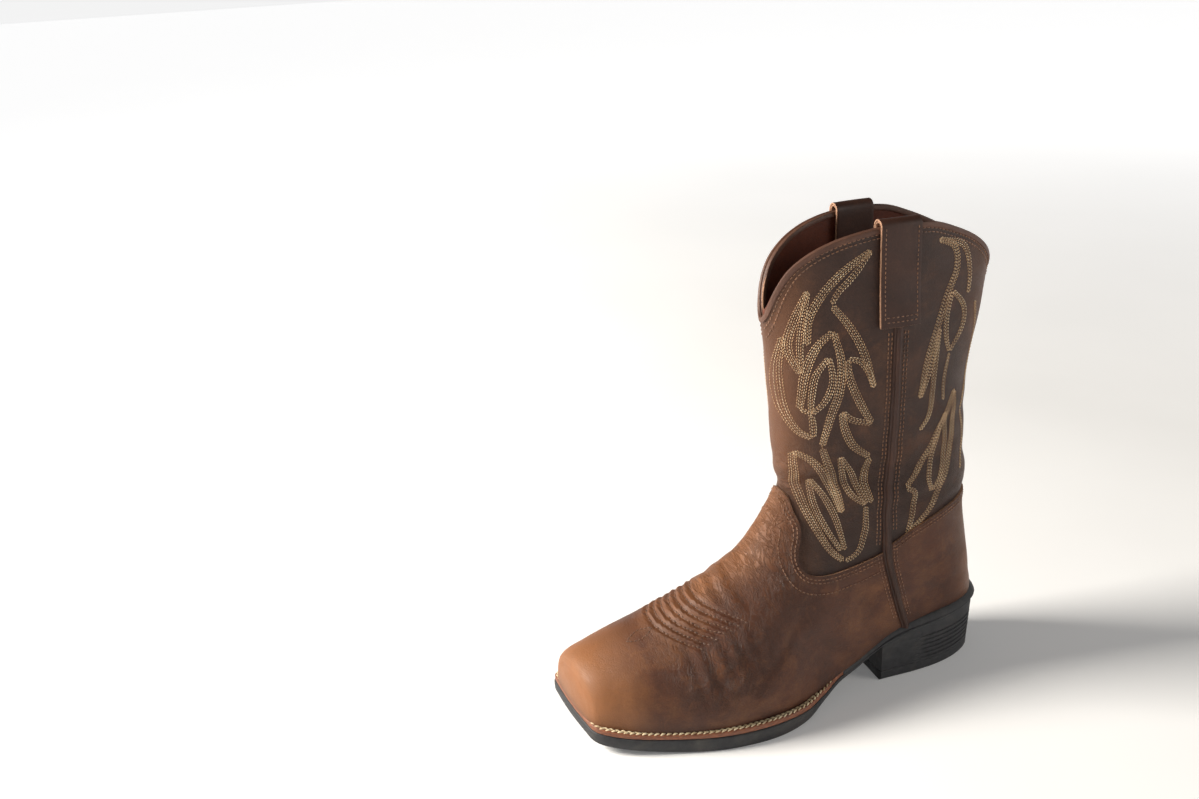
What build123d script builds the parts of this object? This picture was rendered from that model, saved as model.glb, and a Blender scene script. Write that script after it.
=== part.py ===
from build123d import *
import math
import os

# Left western boot. Millimetres, +Z up, toe towards -Y, little-toe side towards +X.
# The boot is drawn about its heel centre line, and the planes that it is drawn on are shifted
# so that the origin is the middle of its footprint box on the floor.
SHIFT_X = -5.83
SHIFT_Y = -6.81

# Leather thicknesses, measured inwards from the outside of the upper
UPPER_T = 1.8          # outer leather
REINFORCE_T = 0.8      # toe puff and heel stiffener
WALL_T = 3.4           # outer leather and lining together
TRIM_GAP = 0.1         # air between the upper and what is sewn on it
PIPING_T = 1.3
PIPING_W = 6.0
STRAP_T = 2.2

# Sole stack
WELT_RING_W = 12.0
FILLER_GAP = 0.2
BOARD_T = 2.5
FOOTBED_T = 4.5
HEEL_CAP_T = 7.0
SHANK_W = 14.0
SHANK_T = 1.6
SHANK_Y = (-20.0, 84.0)
WELT_EDGE_INSET = 0.4
STITCH_D = 1.6
STITCH_INSET = 2.4
STITCH_RISE = 1.0
STITCH_END_Y = 22.0

# Pull straps
STRAP_Y = (60.0, 87.0)
STRAP_FOOT_Z = 257.0
TOPLINE_AT_STRAP = 318.6
ARCH_LIFT = 0.1
LATERAL_WALL_X = 27.1  # middle of the shaft wall under each strap, at the topline
MEDIAL_WALL_X = -29.0
PIPING_Z = (48.0, 254.0)

# Panels
SEAM_LOW_Z = 5
LATERAL_SEAM = [(74, 330), (73, 260), (71, 225), (70, 180), (70, 120), (71.5, 96), (75, 80),
                (82, 55), (88, 38), (94, SEAM_LOW_Z)]
MEDIAL_SEAM = [(77, 330), (77, SEAM_LOW_Z)]
VAMP_LINE = [(-170, 148), (4, 148), (10, 144), (12.5, 132), (15.5, 123), (12, 113), (10.5, 104),
             (14, 96), (22, 92.3), (34, 92.3), (50, 95), (70, 101), (80, 104)]
COUNTER_LINE = [(60, 98), (70, 104), (79, 110), (90, 116), (103, 120.5), (118, 124), (136, 126),
                (170, 127)]
TOPLINE = [(-170, 252), (-8, 252), (-6, 262), (0.7, 285), (8, 296.5), (19, 305), (33, 312), (48, 316),
           (62, 318), (74, 318.5), (88, 318.4), (100, 317), (112, 313), (133, 303), (148, 291),
           (156, 276), (162, 262)]
PUFF_BACK_Y = -106.0
STIFFENER_OUTLINE = [(96, 0), (170, 0), (170, 112), (108, 104)]
SEAM_GAP = 0.2

# Side view of the sole, (y, z): underside, top of the rubber, top of the welt and rand
UNDERSIDE = [(-170, 13), (-147, 9.3), (-120, 4.5), (-90, 1.2), (-60, 0), (-30, 0), (-10, 1),
             (10, 4.3), (22, 8), (34, 12.5), (50, 17.5), (65, 26), (73, 30), (84, 33),
             (100, 36), (130, 38.5), (180, 42)]
RUBBER_TOP = [(-170, 21), (-147, 17), (-133, 14.7), (-110, 11.8), (-80, 10.2), (-42, 10),
              (-5, 10.4), (10, 10.8), (22, 12), (34, 16.2), (50, 20.8), (65, 28.6), (73, 33),
              (84, 37), (98, 39.6), (116, 41.4), (136, 42.4), (180, 45)]
FEATHER = [(-170, 25.5), (-147, 21), (-133, 18.3), (-110, 15.2), (-80, 13.7), (-42, 13.6),
           (-5, 14), (10, 14.3), (22, 15.6), (34, 19.7), (50, 24.2), (65, 32), (73, 36.4),
           (84, 40.6), (98, 43.2), (116, 45), (136, 46.3), (180, 50)]
WELT_END_Y = 46.0

# Plan outline of the sole edge, toe corner to heel on each side
LATERAL_EDGE = [(30.5, -137.5), (40, -121), (51, -90), (59, -62), (61.5, -42), (61, -20), (56, 2),
                (46.5, 19), (38.5, 36), (34.5, 54), (34, 76), (34, 98), (31.5, 120), (25, 139)]
MEDIAL_EDGE = [(-39.5, -144.5), (-44, -124), (-48, -100), (-50, -72), (-49, -48), (-44.5, -24),
               (-37.5, 0), (-32, 20), (-29.5, 40), (-30.5, 60), (-33, 80), (-34.5, 102),
               (-32, 124), (-25, 142)]
HEEL_BACK = [(15, 152.5), (0, 157.5), (-15, 154)]
TOE_CORNER_R = 7.0
TOE_CORNER_MIN_R = 2.0

# Heel block: tread outline is this much smaller than its top, and its breast is cut here
HEEL_TAPER = 0.90
HEEL_TAPER_Y = 0.955
BREAST_LATERAL_Y = 71.0
BREAST_MEDIAL_Y = 66.0
HEEL_MID_Y = 108.0
HEEL_TOP_Z = 45.0
HEEL_FRONT_Y = 50.0
HEEL_HALF_W = 60.0

# Limits that lie outside the boot, for cutting regions
FAR = 200.0
FRONT_Y = -170.0
BACK_Y = 200.0
LOW_Z = -50.0
HIGH_Z = 400.0
PLAN_LOW_Z = -5.0
PLAN_HIGH_Z = 70.0

# The form of the upper. Each station is a flat section through the X axis direction, from a
# point on the ridge of the boot (y, z) to the opposite point on its sole or back (y, z),
# with the X of the ridge, lateral side and medial side, the yaw of the section, where along
# it the boot is widest, and how full its four quarters are.
STATIONS = [
    ((-138.5, 43.5), (-138.5, 7.0), -3, 22.5, -29.0, 6.0, 0.62, 0.66, 0.70, 0.80, 0.80),
    ((-136.3, 46.5), (-136.3, 6.0), -3, 27.5, -33.0, 6.0, 0.62, 0.66, 0.70, 0.80, 0.80),
    ((-131.5, 49.5), (-131.5, 4.0), -3, 31.0, -36.0, 5.5, 0.62, 0.66, 0.70, 0.80, 0.80),
    ((-122.0, 53.5), (-122.0, 2.0), -4, 35.5, -38.5, 4.0, 0.64, 0.62, 0.67, 0.80, 0.80),
    ((-108.0, 59.0), (-108.0, 0.0), -5, 42.0, -41.5, 2.5, 0.66, 0.58, 0.63, 0.80, 0.80),
    ((-84.0, 67.5), (-84.0, -2.0), -6, 49.5, -44.5, 0.0, 0.70, 0.53, 0.60, 0.80, 0.80),
    ((-60.0, 77.0), (-60.0, -3.0), -7, 55.0, -44.5, 0.0, 0.74, 0.49, 0.57, 0.80, 0.80),
    ((-39.0, 88.5), (-36.0, -3.0), -7, 56.5, -42.0, 0.0, 0.77, 0.46, 0.56, 0.80, 0.80),
    ((-18.0, 102.0), (-3.0, -3.0), -7, 52.5, -37.5, 0.0, 0.78, 0.45, 0.56, 0.80, 0.80),
    ((-5.0, 118.5), (34.0, 2.0), -6, 41.0, -31.5, 0.0, 0.74, 0.48, 0.58, 0.78, 0.78),
    ((2.5, 132.0), (76.0, 12.0), -4, 35.0, -31.5, 0.0, 0.68, 0.50, 0.60, 0.74, 0.74),
    ((6.5, 140.5), (116.0, 20.0), -3, 33.5, -33.0, 0.0, 0.64, 0.50, 0.60, 0.70, 0.70),
    ((8.0, 146.5), (150.5, 38.0), -2, 33.5, -34.0, 0.0, 0.62, 0.50, 0.60, 0.64, 0.62),
    ((8.0, 152.0), (151.0, 63.0), -1.5, 34.5, -34.5, 0.0, 0.62, 0.50, 0.60, 0.60, 0.58),
    ((7.2, 158.5), (147.5, 88.0), -1, 34.5, -34.0, 0.0, 0.60, 0.50, 0.60, 0.58, 0.56),
    ((6.0, 167.0), (143.5, 113.0), 0, 34.5, -34.0, 0.0, 0.58, 0.50, 0.60, 0.58, 0.56),
    ((4.8, 178.0), (143.5, 140.0), 0, 35.0, -34.5, 0.0, 0.56, 0.50, 0.60, 0.58, 0.56),
    ((3.6, 192.0), (142.0, 166.0), 0, 36.0, -35.5, 0.0, 0.55, 0.50, 0.60, 0.58, 0.56),
    ((2.2, 208.0), (141.0, 194.0), 0, 36.5, -36.5, 0.0, 0.54, 0.48, 0.60, 0.58, 0.56),
    ((-0.6, 230.0), (144.0, 226.0), 0, 35.5, -36.0, 0.0, 0.53, 0.44, 0.60, 0.58, 0.56),
    ((-3.2, 254.0), (150.5, 256.0), 0, 33.0, -34.0, 0.0, 0.53, 0.38, 0.60, 0.58, 0.56),
    ((-6.5, 284.0), (155.5, 284.0), 0, 30.5, -32.0, 0.0, 0.53, 0.32, 0.60, 0.58, 0.56),
    ((-10.0, 325.0), (158.5, 325.0), 0, 28.5, -30.5, 0.0, 0.53, 0.28, 0.60, 0.58, 0.56),
]
TOE_INSET_SHARE = [1.0, 1.0, 0.8, 0.45, 0.15]
SPANS = [(0, 5), (5, 11), (11, 12), (12, 22)]     # stations lofted together
MIN_SQUARENESS = 0.6


def ridge_slant(index, end):
    """How far a point must slide along its section to move one unit square to the surface."""
    here = STATIONS[index]
    low = STATIONS[max(index - 1, 0)]
    high = STATIONS[min(index + 1, len(STATIONS) - 1)]
    run = (here[1][0] - here[0][0], here[1][1] - here[0][1])
    line = (high[end][0] - low[end][0], high[end][1] - low[end][1])
    square = abs(run[0] * line[1] - run[1] * line[0])
    return 1 / max(MIN_SQUARENESS, square / (math.hypot(*run) * math.hypot(*line)))


def form_section(index, inset):
    """One closed section of the upper's form, moved inwards by inset."""
    top, low, ridge_x, lateral_x, medial_x, yaw, widest, fa, fb, ba, bb = STATIONS[index]
    run = math.hypot(low[0] - top[0], low[1] - top[1])
    ey, ez = (low[0] - top[0]) / run, (low[1] - top[1]) / run
    behind = inset * TOE_INSET_SHARE[index] if index < len(TOE_INSET_SHARE) else 0.0
    slide_top = inset * ridge_slant(index, 0)
    slide_low = inset * ridge_slant(index, 1)
    length = run - slide_top - slide_low
    origin_y = top[0] + ey * slide_top - ez * behind
    origin_z = top[1] + ez * slide_top + ey * behind
    if yaw:
        turn = math.radians(yaw)
        across = (math.cos(turn), math.sin(turn), 0)
        normal = (-math.sin(turn), math.cos(turn), 0)
    else:
        across = (1, 0, 0)
        normal = (0, -ez, ey)
    origin = (ridge_x + SHIFT_X, origin_y + SHIFT_Y, origin_z)
    plane = Plane(origin=origin, x_dir=across, z_dir=normal)
    wl = lateral_x - ridge_x - inset
    wm = medial_x - ridge_x + inset
    a = widest * length
    b = length - a
    with BuildSketch(plane) as section:
        with BuildLine():
            Bezier((0, 0), (wl * fa, 0), (wl, a * (1 - fb)), (wl, a))
            Bezier((wl, a), (wl, a + b * bb), (wl * ba, length), (0, length))
            Bezier((0, length), (wm * ba, length), (wm, a + b * bb), (wm, a))
            Bezier((wm, a), (wm, a * (1 - fb)), (wm * fa, 0), (0, 0))
        make_face()
    return section.sketch


def upper_form(inset):
    """The solid inside a skin that lies inset below the outside of the upper."""
    pieces = []
    for first, end in SPANS:
        sections = [form_section(i, inset) for i in range(first, end + 1)]
        with BuildPart() as piece:
            loft(sections, ruled=True)
        pieces.append(piece.part)
    with BuildPart() as form:
        for piece in pieces:
            add(piece)
    return form.part


def side_band(points, x_low=-FAR, x_high=FAR):
    """A side-view outline (y, z) run across the boot from x_low to x_high."""
    side = Plane(origin=(x_low + SHIFT_X, SHIFT_Y, 0), x_dir=(0, 1, 0), z_dir=(1, 0, 0))
    with BuildPart() as band:
        with BuildSketch(side):
            with BuildLine():
                Polyline(*points, close=True)
            make_face()
        extrude(amount=x_high - x_low)
    return band.part


def split_at_mid(lateral_points, medial_points):
    """A side-view region whose outline differs between the lateral and medial halves."""
    with BuildPart() as region:
        add(side_band(lateral_points, 0, FAR))
        add(side_band(medial_points, -FAR, 0))
    return region.part


def below(line):
    """The outline of all that lies under a line that runs towards the back."""
    return line + [(line[-1][0], LOW_Z), (line[0][0], LOW_Z)]


def above(line):
    """The outline of all that lies over a line that runs towards the back."""
    return line + [(line[-1][0], HIGH_Z), (line[0][0], HIGH_Z)]


def beside(seam, far_y):
    """The outline of all that lies between a side seam and far_y."""
    return seam + [(far_y, seam[-1][1]), (far_y, seam[0][1])]


def slice_between(y_low, y_high):
    """The stretch of the boot from y_low to y_high."""
    return side_band([(y_low, LOW_Z), (y_high, LOW_Z), (y_high, HIGH_Z), (y_low, HIGH_Z)])


def between(low_line, high_line):
    """The side-view region between two sole lines."""
    return side_band(low_line + list(reversed(high_line)))


def shifted(line, dz, dy=0.0):
    return [(y + dy, z + dz) for y, z in line]


def pulled_in(points, inset):
    """A closed anticlockwise outline with every point moved inwards by inset."""
    moved = []
    for i, (x, y) in enumerate(points):
        before = points[i - 1]
        after = points[(i + 1) % len(points)]
        first = math.dist(before, (x, y))
        second = math.dist((x, y), after)
        n1 = ((before[1] - y) / first, (x - before[0]) / first)
        n2 = ((y - after[1]) / second, (after[0] - x) / second)
        share = inset / (1 + n1[0] * n2[0] + n1[1] * n2[1])
        moved.append((x + (n1[0] + n2[0]) * share, y + (n1[1] + n2[1]) * share))
    return moved


def plan_outline(inset):
    """The sole's plan outline, pulled in by inset."""
    edge = pulled_in(LATERAL_EDGE + HEEL_BACK + list(reversed(MEDIAL_EDGE)), inset)
    with BuildSketch() as outline:
        with BuildLine():
            Spline(*edge)
            Line(edge[-1], edge[0])
        make_face()
        fillet(vertices(), max(TOE_CORNER_R - inset, TOE_CORNER_MIN_R))
    return outline.sketch


def sole_plan(inset, ring=0.0):
    """The sole outline as an upright block, or as an upright ring of the given width."""
    with BuildPart() as block:
        with BuildSketch(Plane(origin=(SHIFT_X, SHIFT_Y, PLAN_LOW_Z))):
            add(plan_outline(inset))
            if ring:
                add(plan_outline(inset + ring), mode=Mode.SUBTRACT)
        extrude(amount=PLAN_HIGH_Z - PLAN_LOW_Z)
    return block.part


os.makedirs("parts", exist_ok=True)

outer = upper_form(0.0)
over_upper = upper_form(-TRIM_GAP)
under_upper = upper_form(UPPER_T)
under_puff = upper_form(UPPER_T + REINFORCE_T)
inner = upper_form(WALL_T)

# Side-view regions of the panels
above_feather = above(FEATHER)
below_topline = below(TOPLINE)
below_vamp = below(VAMP_LINE)
above_vamp = above(shifted(VAMP_LINE, SEAM_GAP, SEAM_GAP))
below_counter = below(COUNTER_LINE)
above_counter = above(shifted(COUNTER_LINE, SEAM_GAP))
back_lateral_seam = shifted(LATERAL_SEAM, 0, SEAM_GAP)
back_medial_seam = shifted(MEDIAL_SEAM, 0, SEAM_GAP)

front_half = split_at_mid(beside(LATERAL_SEAM, FRONT_Y), beside(MEDIAL_SEAM, FRONT_Y))
back_half = split_at_mid(beside(back_lateral_seam, BACK_Y), beside(back_medial_seam, BACK_Y))

with BuildPart() as outer_shell:
    add(outer)
    add(side_band(above_feather), mode=Mode.INTERSECT)
    add(side_band(below_topline), mode=Mode.INTERSECT)
    add(under_upper, mode=Mode.SUBTRACT)

with BuildPart() as vamp:
    add(outer_shell.part)
    add(front_half, mode=Mode.INTERSECT)
    add(side_band(below_vamp), mode=Mode.INTERSECT)
vamp.part.label = "vamp"
export_step(vamp.part, "parts/vamp.step")

with BuildPart() as front_shaft:
    add(outer_shell.part)
    add(front_half, mode=Mode.INTERSECT)
    add(side_band(above_vamp), mode=Mode.INTERSECT)
front_shaft.part.label = "front_shaft"
export_step(front_shaft.part, "parts/front_shaft.step")

with BuildPart() as counter_cover:
    add(outer_shell.part)
    add(back_half, mode=Mode.INTERSECT)
    add(side_band(below_counter), mode=Mode.INTERSECT)
counter_cover.part.label = "counter_cover"
export_step(counter_cover.part, "parts/counter_cover.step")

with BuildPart() as back_shaft:
    add(outer_shell.part)
    add(back_half, mode=Mode.INTERSECT)
    add(side_band(above_counter), mode=Mode.INTERSECT)
back_shaft.part.label = "back_shaft"
export_step(back_shaft.part, "parts/back_shaft.step")

# Lining, with the two reinforcements let into its outside face
with BuildPart() as lining_shell:
    add(under_upper)
    add(side_band(above_feather), mode=Mode.INTERSECT)
    add(side_band(below_topline), mode=Mode.INTERSECT)
    add(inner, mode=Mode.SUBTRACT)

with BuildPart() as toe_puff:
    add(under_upper)
    add(side_band(above_feather), mode=Mode.INTERSECT)
    add(slice_between(FRONT_Y, PUFF_BACK_Y), mode=Mode.INTERSECT)
    add(under_puff, mode=Mode.SUBTRACT)
toe_puff.part.label = "toe_puff"
export_step(toe_puff.part, "parts/toe_puff.step")

with BuildPart() as heel_stiffener:
    add(under_upper)
    add(side_band(above_feather), mode=Mode.INTERSECT)
    add(side_band(STIFFENER_OUTLINE), mode=Mode.INTERSECT)
    add(under_puff, mode=Mode.SUBTRACT)
heel_stiffener.part.label = "heel_stiffener"
export_step(heel_stiffener.part, "parts/heel_stiffener.step")

with BuildPart() as vamp_lining:
    add(lining_shell.part)
    add(front_half, mode=Mode.INTERSECT)
    add(side_band(below_vamp), mode=Mode.INTERSECT)
    add(toe_puff.part, mode=Mode.SUBTRACT)
vamp_lining.part.label = "vamp_lining"
export_step(vamp_lining.part, "parts/vamp_lining.step")

with BuildPart() as front_shaft_lining:
    add(lining_shell.part)
    add(front_half, mode=Mode.INTERSECT)
    add(side_band(above_vamp), mode=Mode.INTERSECT)
front_shaft_lining.part.label = "front_shaft_lining"
export_step(front_shaft_lining.part, "parts/front_shaft_lining.step")

with BuildPart() as counter_lining:
    add(lining_shell.part)
    add(back_half, mode=Mode.INTERSECT)
    add(side_band(below_counter), mode=Mode.INTERSECT)
    add(heel_stiffener.part, mode=Mode.SUBTRACT)
counter_lining.part.label = "counter_lining"
export_step(counter_lining.part, "parts/counter_lining.step")

with BuildPart() as back_shaft_lining:
    add(lining_shell.part)
    add(back_half, mode=Mode.INTERSECT)
    add(side_band(above_counter), mode=Mode.INTERSECT)
back_shaft_lining.part.label = "back_shaft_lining"
export_step(back_shaft_lining.part, "parts/back_shaft_lining.step")

# Board and footbed lie inside the lining
footbed_form = upper_form(WALL_T + FILLER_GAP)

with BuildPart() as insole_board:
    add(footbed_form)
    add(between(FEATHER, shifted(FEATHER, BOARD_T)), mode=Mode.INTERSECT)
insole_board.part.label = "insole_board"
export_step(insole_board.part, "parts/insole_board.step")

with BuildPart() as footbed:
    add(footbed_form)
    add(between(shifted(FEATHER, BOARD_T), shifted(FEATHER, BOARD_T + FOOTBED_T)),
        mode=Mode.INTERSECT)
footbed.part.label = "footbed"
export_step(footbed.part, "parts/footbed.step")

# Sole stack below the upper
with BuildPart() as outsole:
    add(sole_plan(0))
    add(between(UNDERSIDE, RUBBER_TOP), mode=Mode.INTERSECT)
outsole.part.label = "outsole"
export_step(outsole.part, "parts/outsole.step")

with BuildPart() as welt_ring:
    add(sole_plan(WELT_EDGE_INSET, WELT_RING_W))
    add(between(RUBBER_TOP, FEATHER), mode=Mode.INTERSECT)

with BuildPart() as welt:
    add(welt_ring.part)
    add(slice_between(FRONT_Y, WELT_END_Y), mode=Mode.INTERSECT)
welt.part.label = "welt"
export_step(welt.part, "parts/welt.step")

with BuildPart() as heel_rand:
    add(welt_ring.part)
    add(slice_between(WELT_END_Y + SEAM_GAP, BACK_Y), mode=Mode.INTERSECT)
heel_rand.part.label = "heel_rand"
export_step(heel_rand.part, "parts/heel_rand.step")

with BuildPart() as shank:
    with BuildSketch(Plane(origin=(SHIFT_X, SHIFT_Y + (SHANK_Y[0] + SHANK_Y[1]) / 2, 0))):
        Rectangle(SHANK_W, SHANK_Y[1] - SHANK_Y[0])
    extrude(amount=PLAN_HIGH_Z)
    add(between(RUBBER_TOP, shifted(RUBBER_TOP, SHANK_T)), mode=Mode.INTERSECT)
shank.part.label = "shank"
export_step(shank.part, "parts/shank.step")

with BuildPart() as cork_filler:
    add(sole_plan(WELT_EDGE_INSET + WELT_RING_W + FILLER_GAP))
    add(between(RUBBER_TOP, FEATHER), mode=Mode.INTERSECT)
    add(shank.part, mode=Mode.SUBTRACT)
cork_filler.part.label = "cork_filler"
export_step(cork_filler.part, "parts/cork_filler.step")

with BuildPart() as welt_stitching:
    add(sole_plan(STITCH_INSET, STITCH_D))
    add(between(FEATHER, shifted(FEATHER, STITCH_RISE)), mode=Mode.INTERSECT)
    add(slice_between(FRONT_Y, STITCH_END_Y), mode=Mode.INTERSECT)
    add(over_upper, mode=Mode.SUBTRACT)
welt_stitching.part.label = "welt_stitching"
export_step(welt_stitching.part, "parts/welt_stitching.step")


def heel_outline(share_x, share_y):
    """The heel's plan outline, pulled towards the heel centre."""
    edge = [p for p in LATERAL_EDGE if p[1] > HEEL_FRONT_Y] + HEEL_BACK
    edge += [p for p in reversed(MEDIAL_EDGE) if p[1] > HEEL_FRONT_Y]
    return [(x * share_x, HEEL_MID_Y + (y - HEEL_MID_Y) * share_y) for x, y in edge]


under_heel = [p for p in UNDERSIDE if p[0] >= HEEL_FRONT_Y]
with BuildPart() as heel:
    for level, share_x, share_y in ((0, HEEL_TAPER, HEEL_TAPER_Y), (HEEL_TOP_Z, 1.0, 1.0)):
        points = heel_outline(share_x, share_y)
        with BuildSketch(Plane(origin=(SHIFT_X, SHIFT_Y, level))):
            with BuildLine():
                Spline(*points)
                Line(points[-1], points[0])
            make_face()
    loft(ruled=True)
    add(side_band(below(under_heel)), mode=Mode.INTERSECT)
    with BuildSketch(Plane(origin=(SHIFT_X, SHIFT_Y, 0))):
        with BuildLine():
            Polyline((-HEEL_HALF_W, BREAST_MEDIAL_Y), (HEEL_HALF_W, BREAST_LATERAL_Y),
                     (HEEL_HALF_W, BACK_Y), (-HEEL_HALF_W, BACK_Y), close=True)
        make_face()
    extrude(amount=HEEL_TOP_Z, mode=Mode.INTERSECT)

with BuildPart() as heel_cap:
    add(heel.part)
    split(bisect_by=Plane.XY.offset(HEEL_CAP_T), keep=Keep.BOTTOM)
heel_cap.part.label = "heel_cap"
export_step(heel_cap.part, "parts/heel_cap.step")

with BuildPart() as heel_block:
    add(heel.part)
    split(bisect_by=Plane.XY.offset(HEEL_CAP_T), keep=Keep.TOP)
heel_block.part.label = "heel_block"
export_step(heel_block.part, "parts/heel_block.step")


# Trim sewn over the outside of the upper
def seam_y(seam, z):
    """Where a side seam runs at height z."""
    for (y_high, z_high), (y_low, z_low) in zip(seam, seam[1:]):
        if z_low <= z <= z_high:
            return y_high + (y_low - y_high) * (z_high - z) / (z_high - z_low)
    return seam[-1][0]


def seam_strip(seam, x_low, x_high):
    """The piping that covers one side seam, from the sole to the foot of the pull strap."""
    low_z, high_z = PIPING_Z
    heights = [high_z] + [z for _, z in seam if low_z < z < high_z] + [low_z]
    left = [(seam_y(seam, z) - PIPING_W / 2, z) for z in heights]
    right = [(seam_y(seam, z) + PIPING_W / 2, z) for z in reversed(heights)]
    with BuildPart() as strip:
        add(upper_form(-TRIM_GAP - PIPING_T))
        add(side_band(left + right, x_low, x_high), mode=Mode.INTERSECT)
        add(over_upper, mode=Mode.SUBTRACT)
    return strip.part


with BuildPart() as side_piping_lateral:
    add(seam_strip(LATERAL_SEAM, 0, FAR))
side_piping_lateral.part.label = "side_piping_lateral"
export_step(side_piping_lateral.part, "parts/side_piping_lateral.step")

with BuildPart() as side_piping_medial:
    add(seam_strip(MEDIAL_SEAM, -FAR, 0))
side_piping_medial.part.label = "side_piping_medial"
export_step(side_piping_medial.part, "parts/side_piping_medial.step")


def pull_strap(x_low, x_high, wall_x):
    """A strap folded over the topline, a leg down each face of the shaft."""
    arch_z = TOPLINE_AT_STRAP + ARCH_LIFT
    leg = side_band([(STRAP_Y[0], STRAP_FOOT_Z), (STRAP_Y[1], STRAP_FOOT_Z),
                     (STRAP_Y[1], arch_z), (STRAP_Y[0], arch_z)], x_low, x_high)
    outer_r = WALL_T / 2 + TRIM_GAP + STRAP_T
    back_edge = Plane(origin=(SHIFT_X, SHIFT_Y + STRAP_Y[1], 0), x_dir=(1, 0, 0), z_dir=(0, -1, 0))
    with BuildPart() as outside_leg:
        add(upper_form(-TRIM_GAP - STRAP_T))
        add(leg, mode=Mode.INTERSECT)
        add(over_upper, mode=Mode.SUBTRACT)
    with BuildPart() as inside_leg:
        add(upper_form(WALL_T + TRIM_GAP))
        add(leg, mode=Mode.INTERSECT)
        add(upper_form(WALL_T + TRIM_GAP + STRAP_T), mode=Mode.SUBTRACT)
    with BuildPart() as strap:
        with BuildSketch(back_edge):
            with Locations((wall_x, arch_z)):
                Circle(outer_r)
                Circle(outer_r - STRAP_T, mode=Mode.SUBTRACT)
            with Locations((wall_x, arch_z - outer_r)):
                Rectangle(4 * outer_r, 2 * outer_r, mode=Mode.SUBTRACT)
        extrude(amount=STRAP_Y[1] - STRAP_Y[0])
        add(outside_leg.part)
        add(inside_leg.part)
    return strap.part


with BuildPart() as pull_strap_lateral:
    add(pull_strap(0, FAR, LATERAL_WALL_X))
pull_strap_lateral.part.label = "pull_strap_lateral"
export_step(pull_strap_lateral.part, "parts/pull_strap_lateral.step")

with BuildPart() as pull_strap_medial:
    add(pull_strap(-FAR, 0, MEDIAL_WALL_X))
pull_strap_medial.part.label = "pull_strap_medial"
export_step(pull_strap_medial.part, "parts/pull_strap_medial.step")
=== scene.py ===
import math
import bpy
import numpy as np
from mathutils import Vector, Matrix
from mathutils.bvhtree import BVHTree


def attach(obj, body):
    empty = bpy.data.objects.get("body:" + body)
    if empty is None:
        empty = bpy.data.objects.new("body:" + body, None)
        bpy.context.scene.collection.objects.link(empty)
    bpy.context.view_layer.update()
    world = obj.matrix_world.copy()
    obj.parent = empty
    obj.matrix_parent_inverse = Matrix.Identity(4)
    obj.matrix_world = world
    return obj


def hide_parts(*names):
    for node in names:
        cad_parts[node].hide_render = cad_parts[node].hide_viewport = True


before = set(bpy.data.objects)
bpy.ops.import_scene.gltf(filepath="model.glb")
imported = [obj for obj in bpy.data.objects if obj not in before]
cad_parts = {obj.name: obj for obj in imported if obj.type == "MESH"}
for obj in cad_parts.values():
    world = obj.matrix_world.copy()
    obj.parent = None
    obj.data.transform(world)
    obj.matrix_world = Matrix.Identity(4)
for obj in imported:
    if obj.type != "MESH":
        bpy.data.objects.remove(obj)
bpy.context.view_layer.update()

RNG = np.random.default_rng(7)
MM = 0.001
SHIFT = np.array([-5.83, -6.81, 0.0])      # the last's frame to the part's frame, mm

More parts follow.
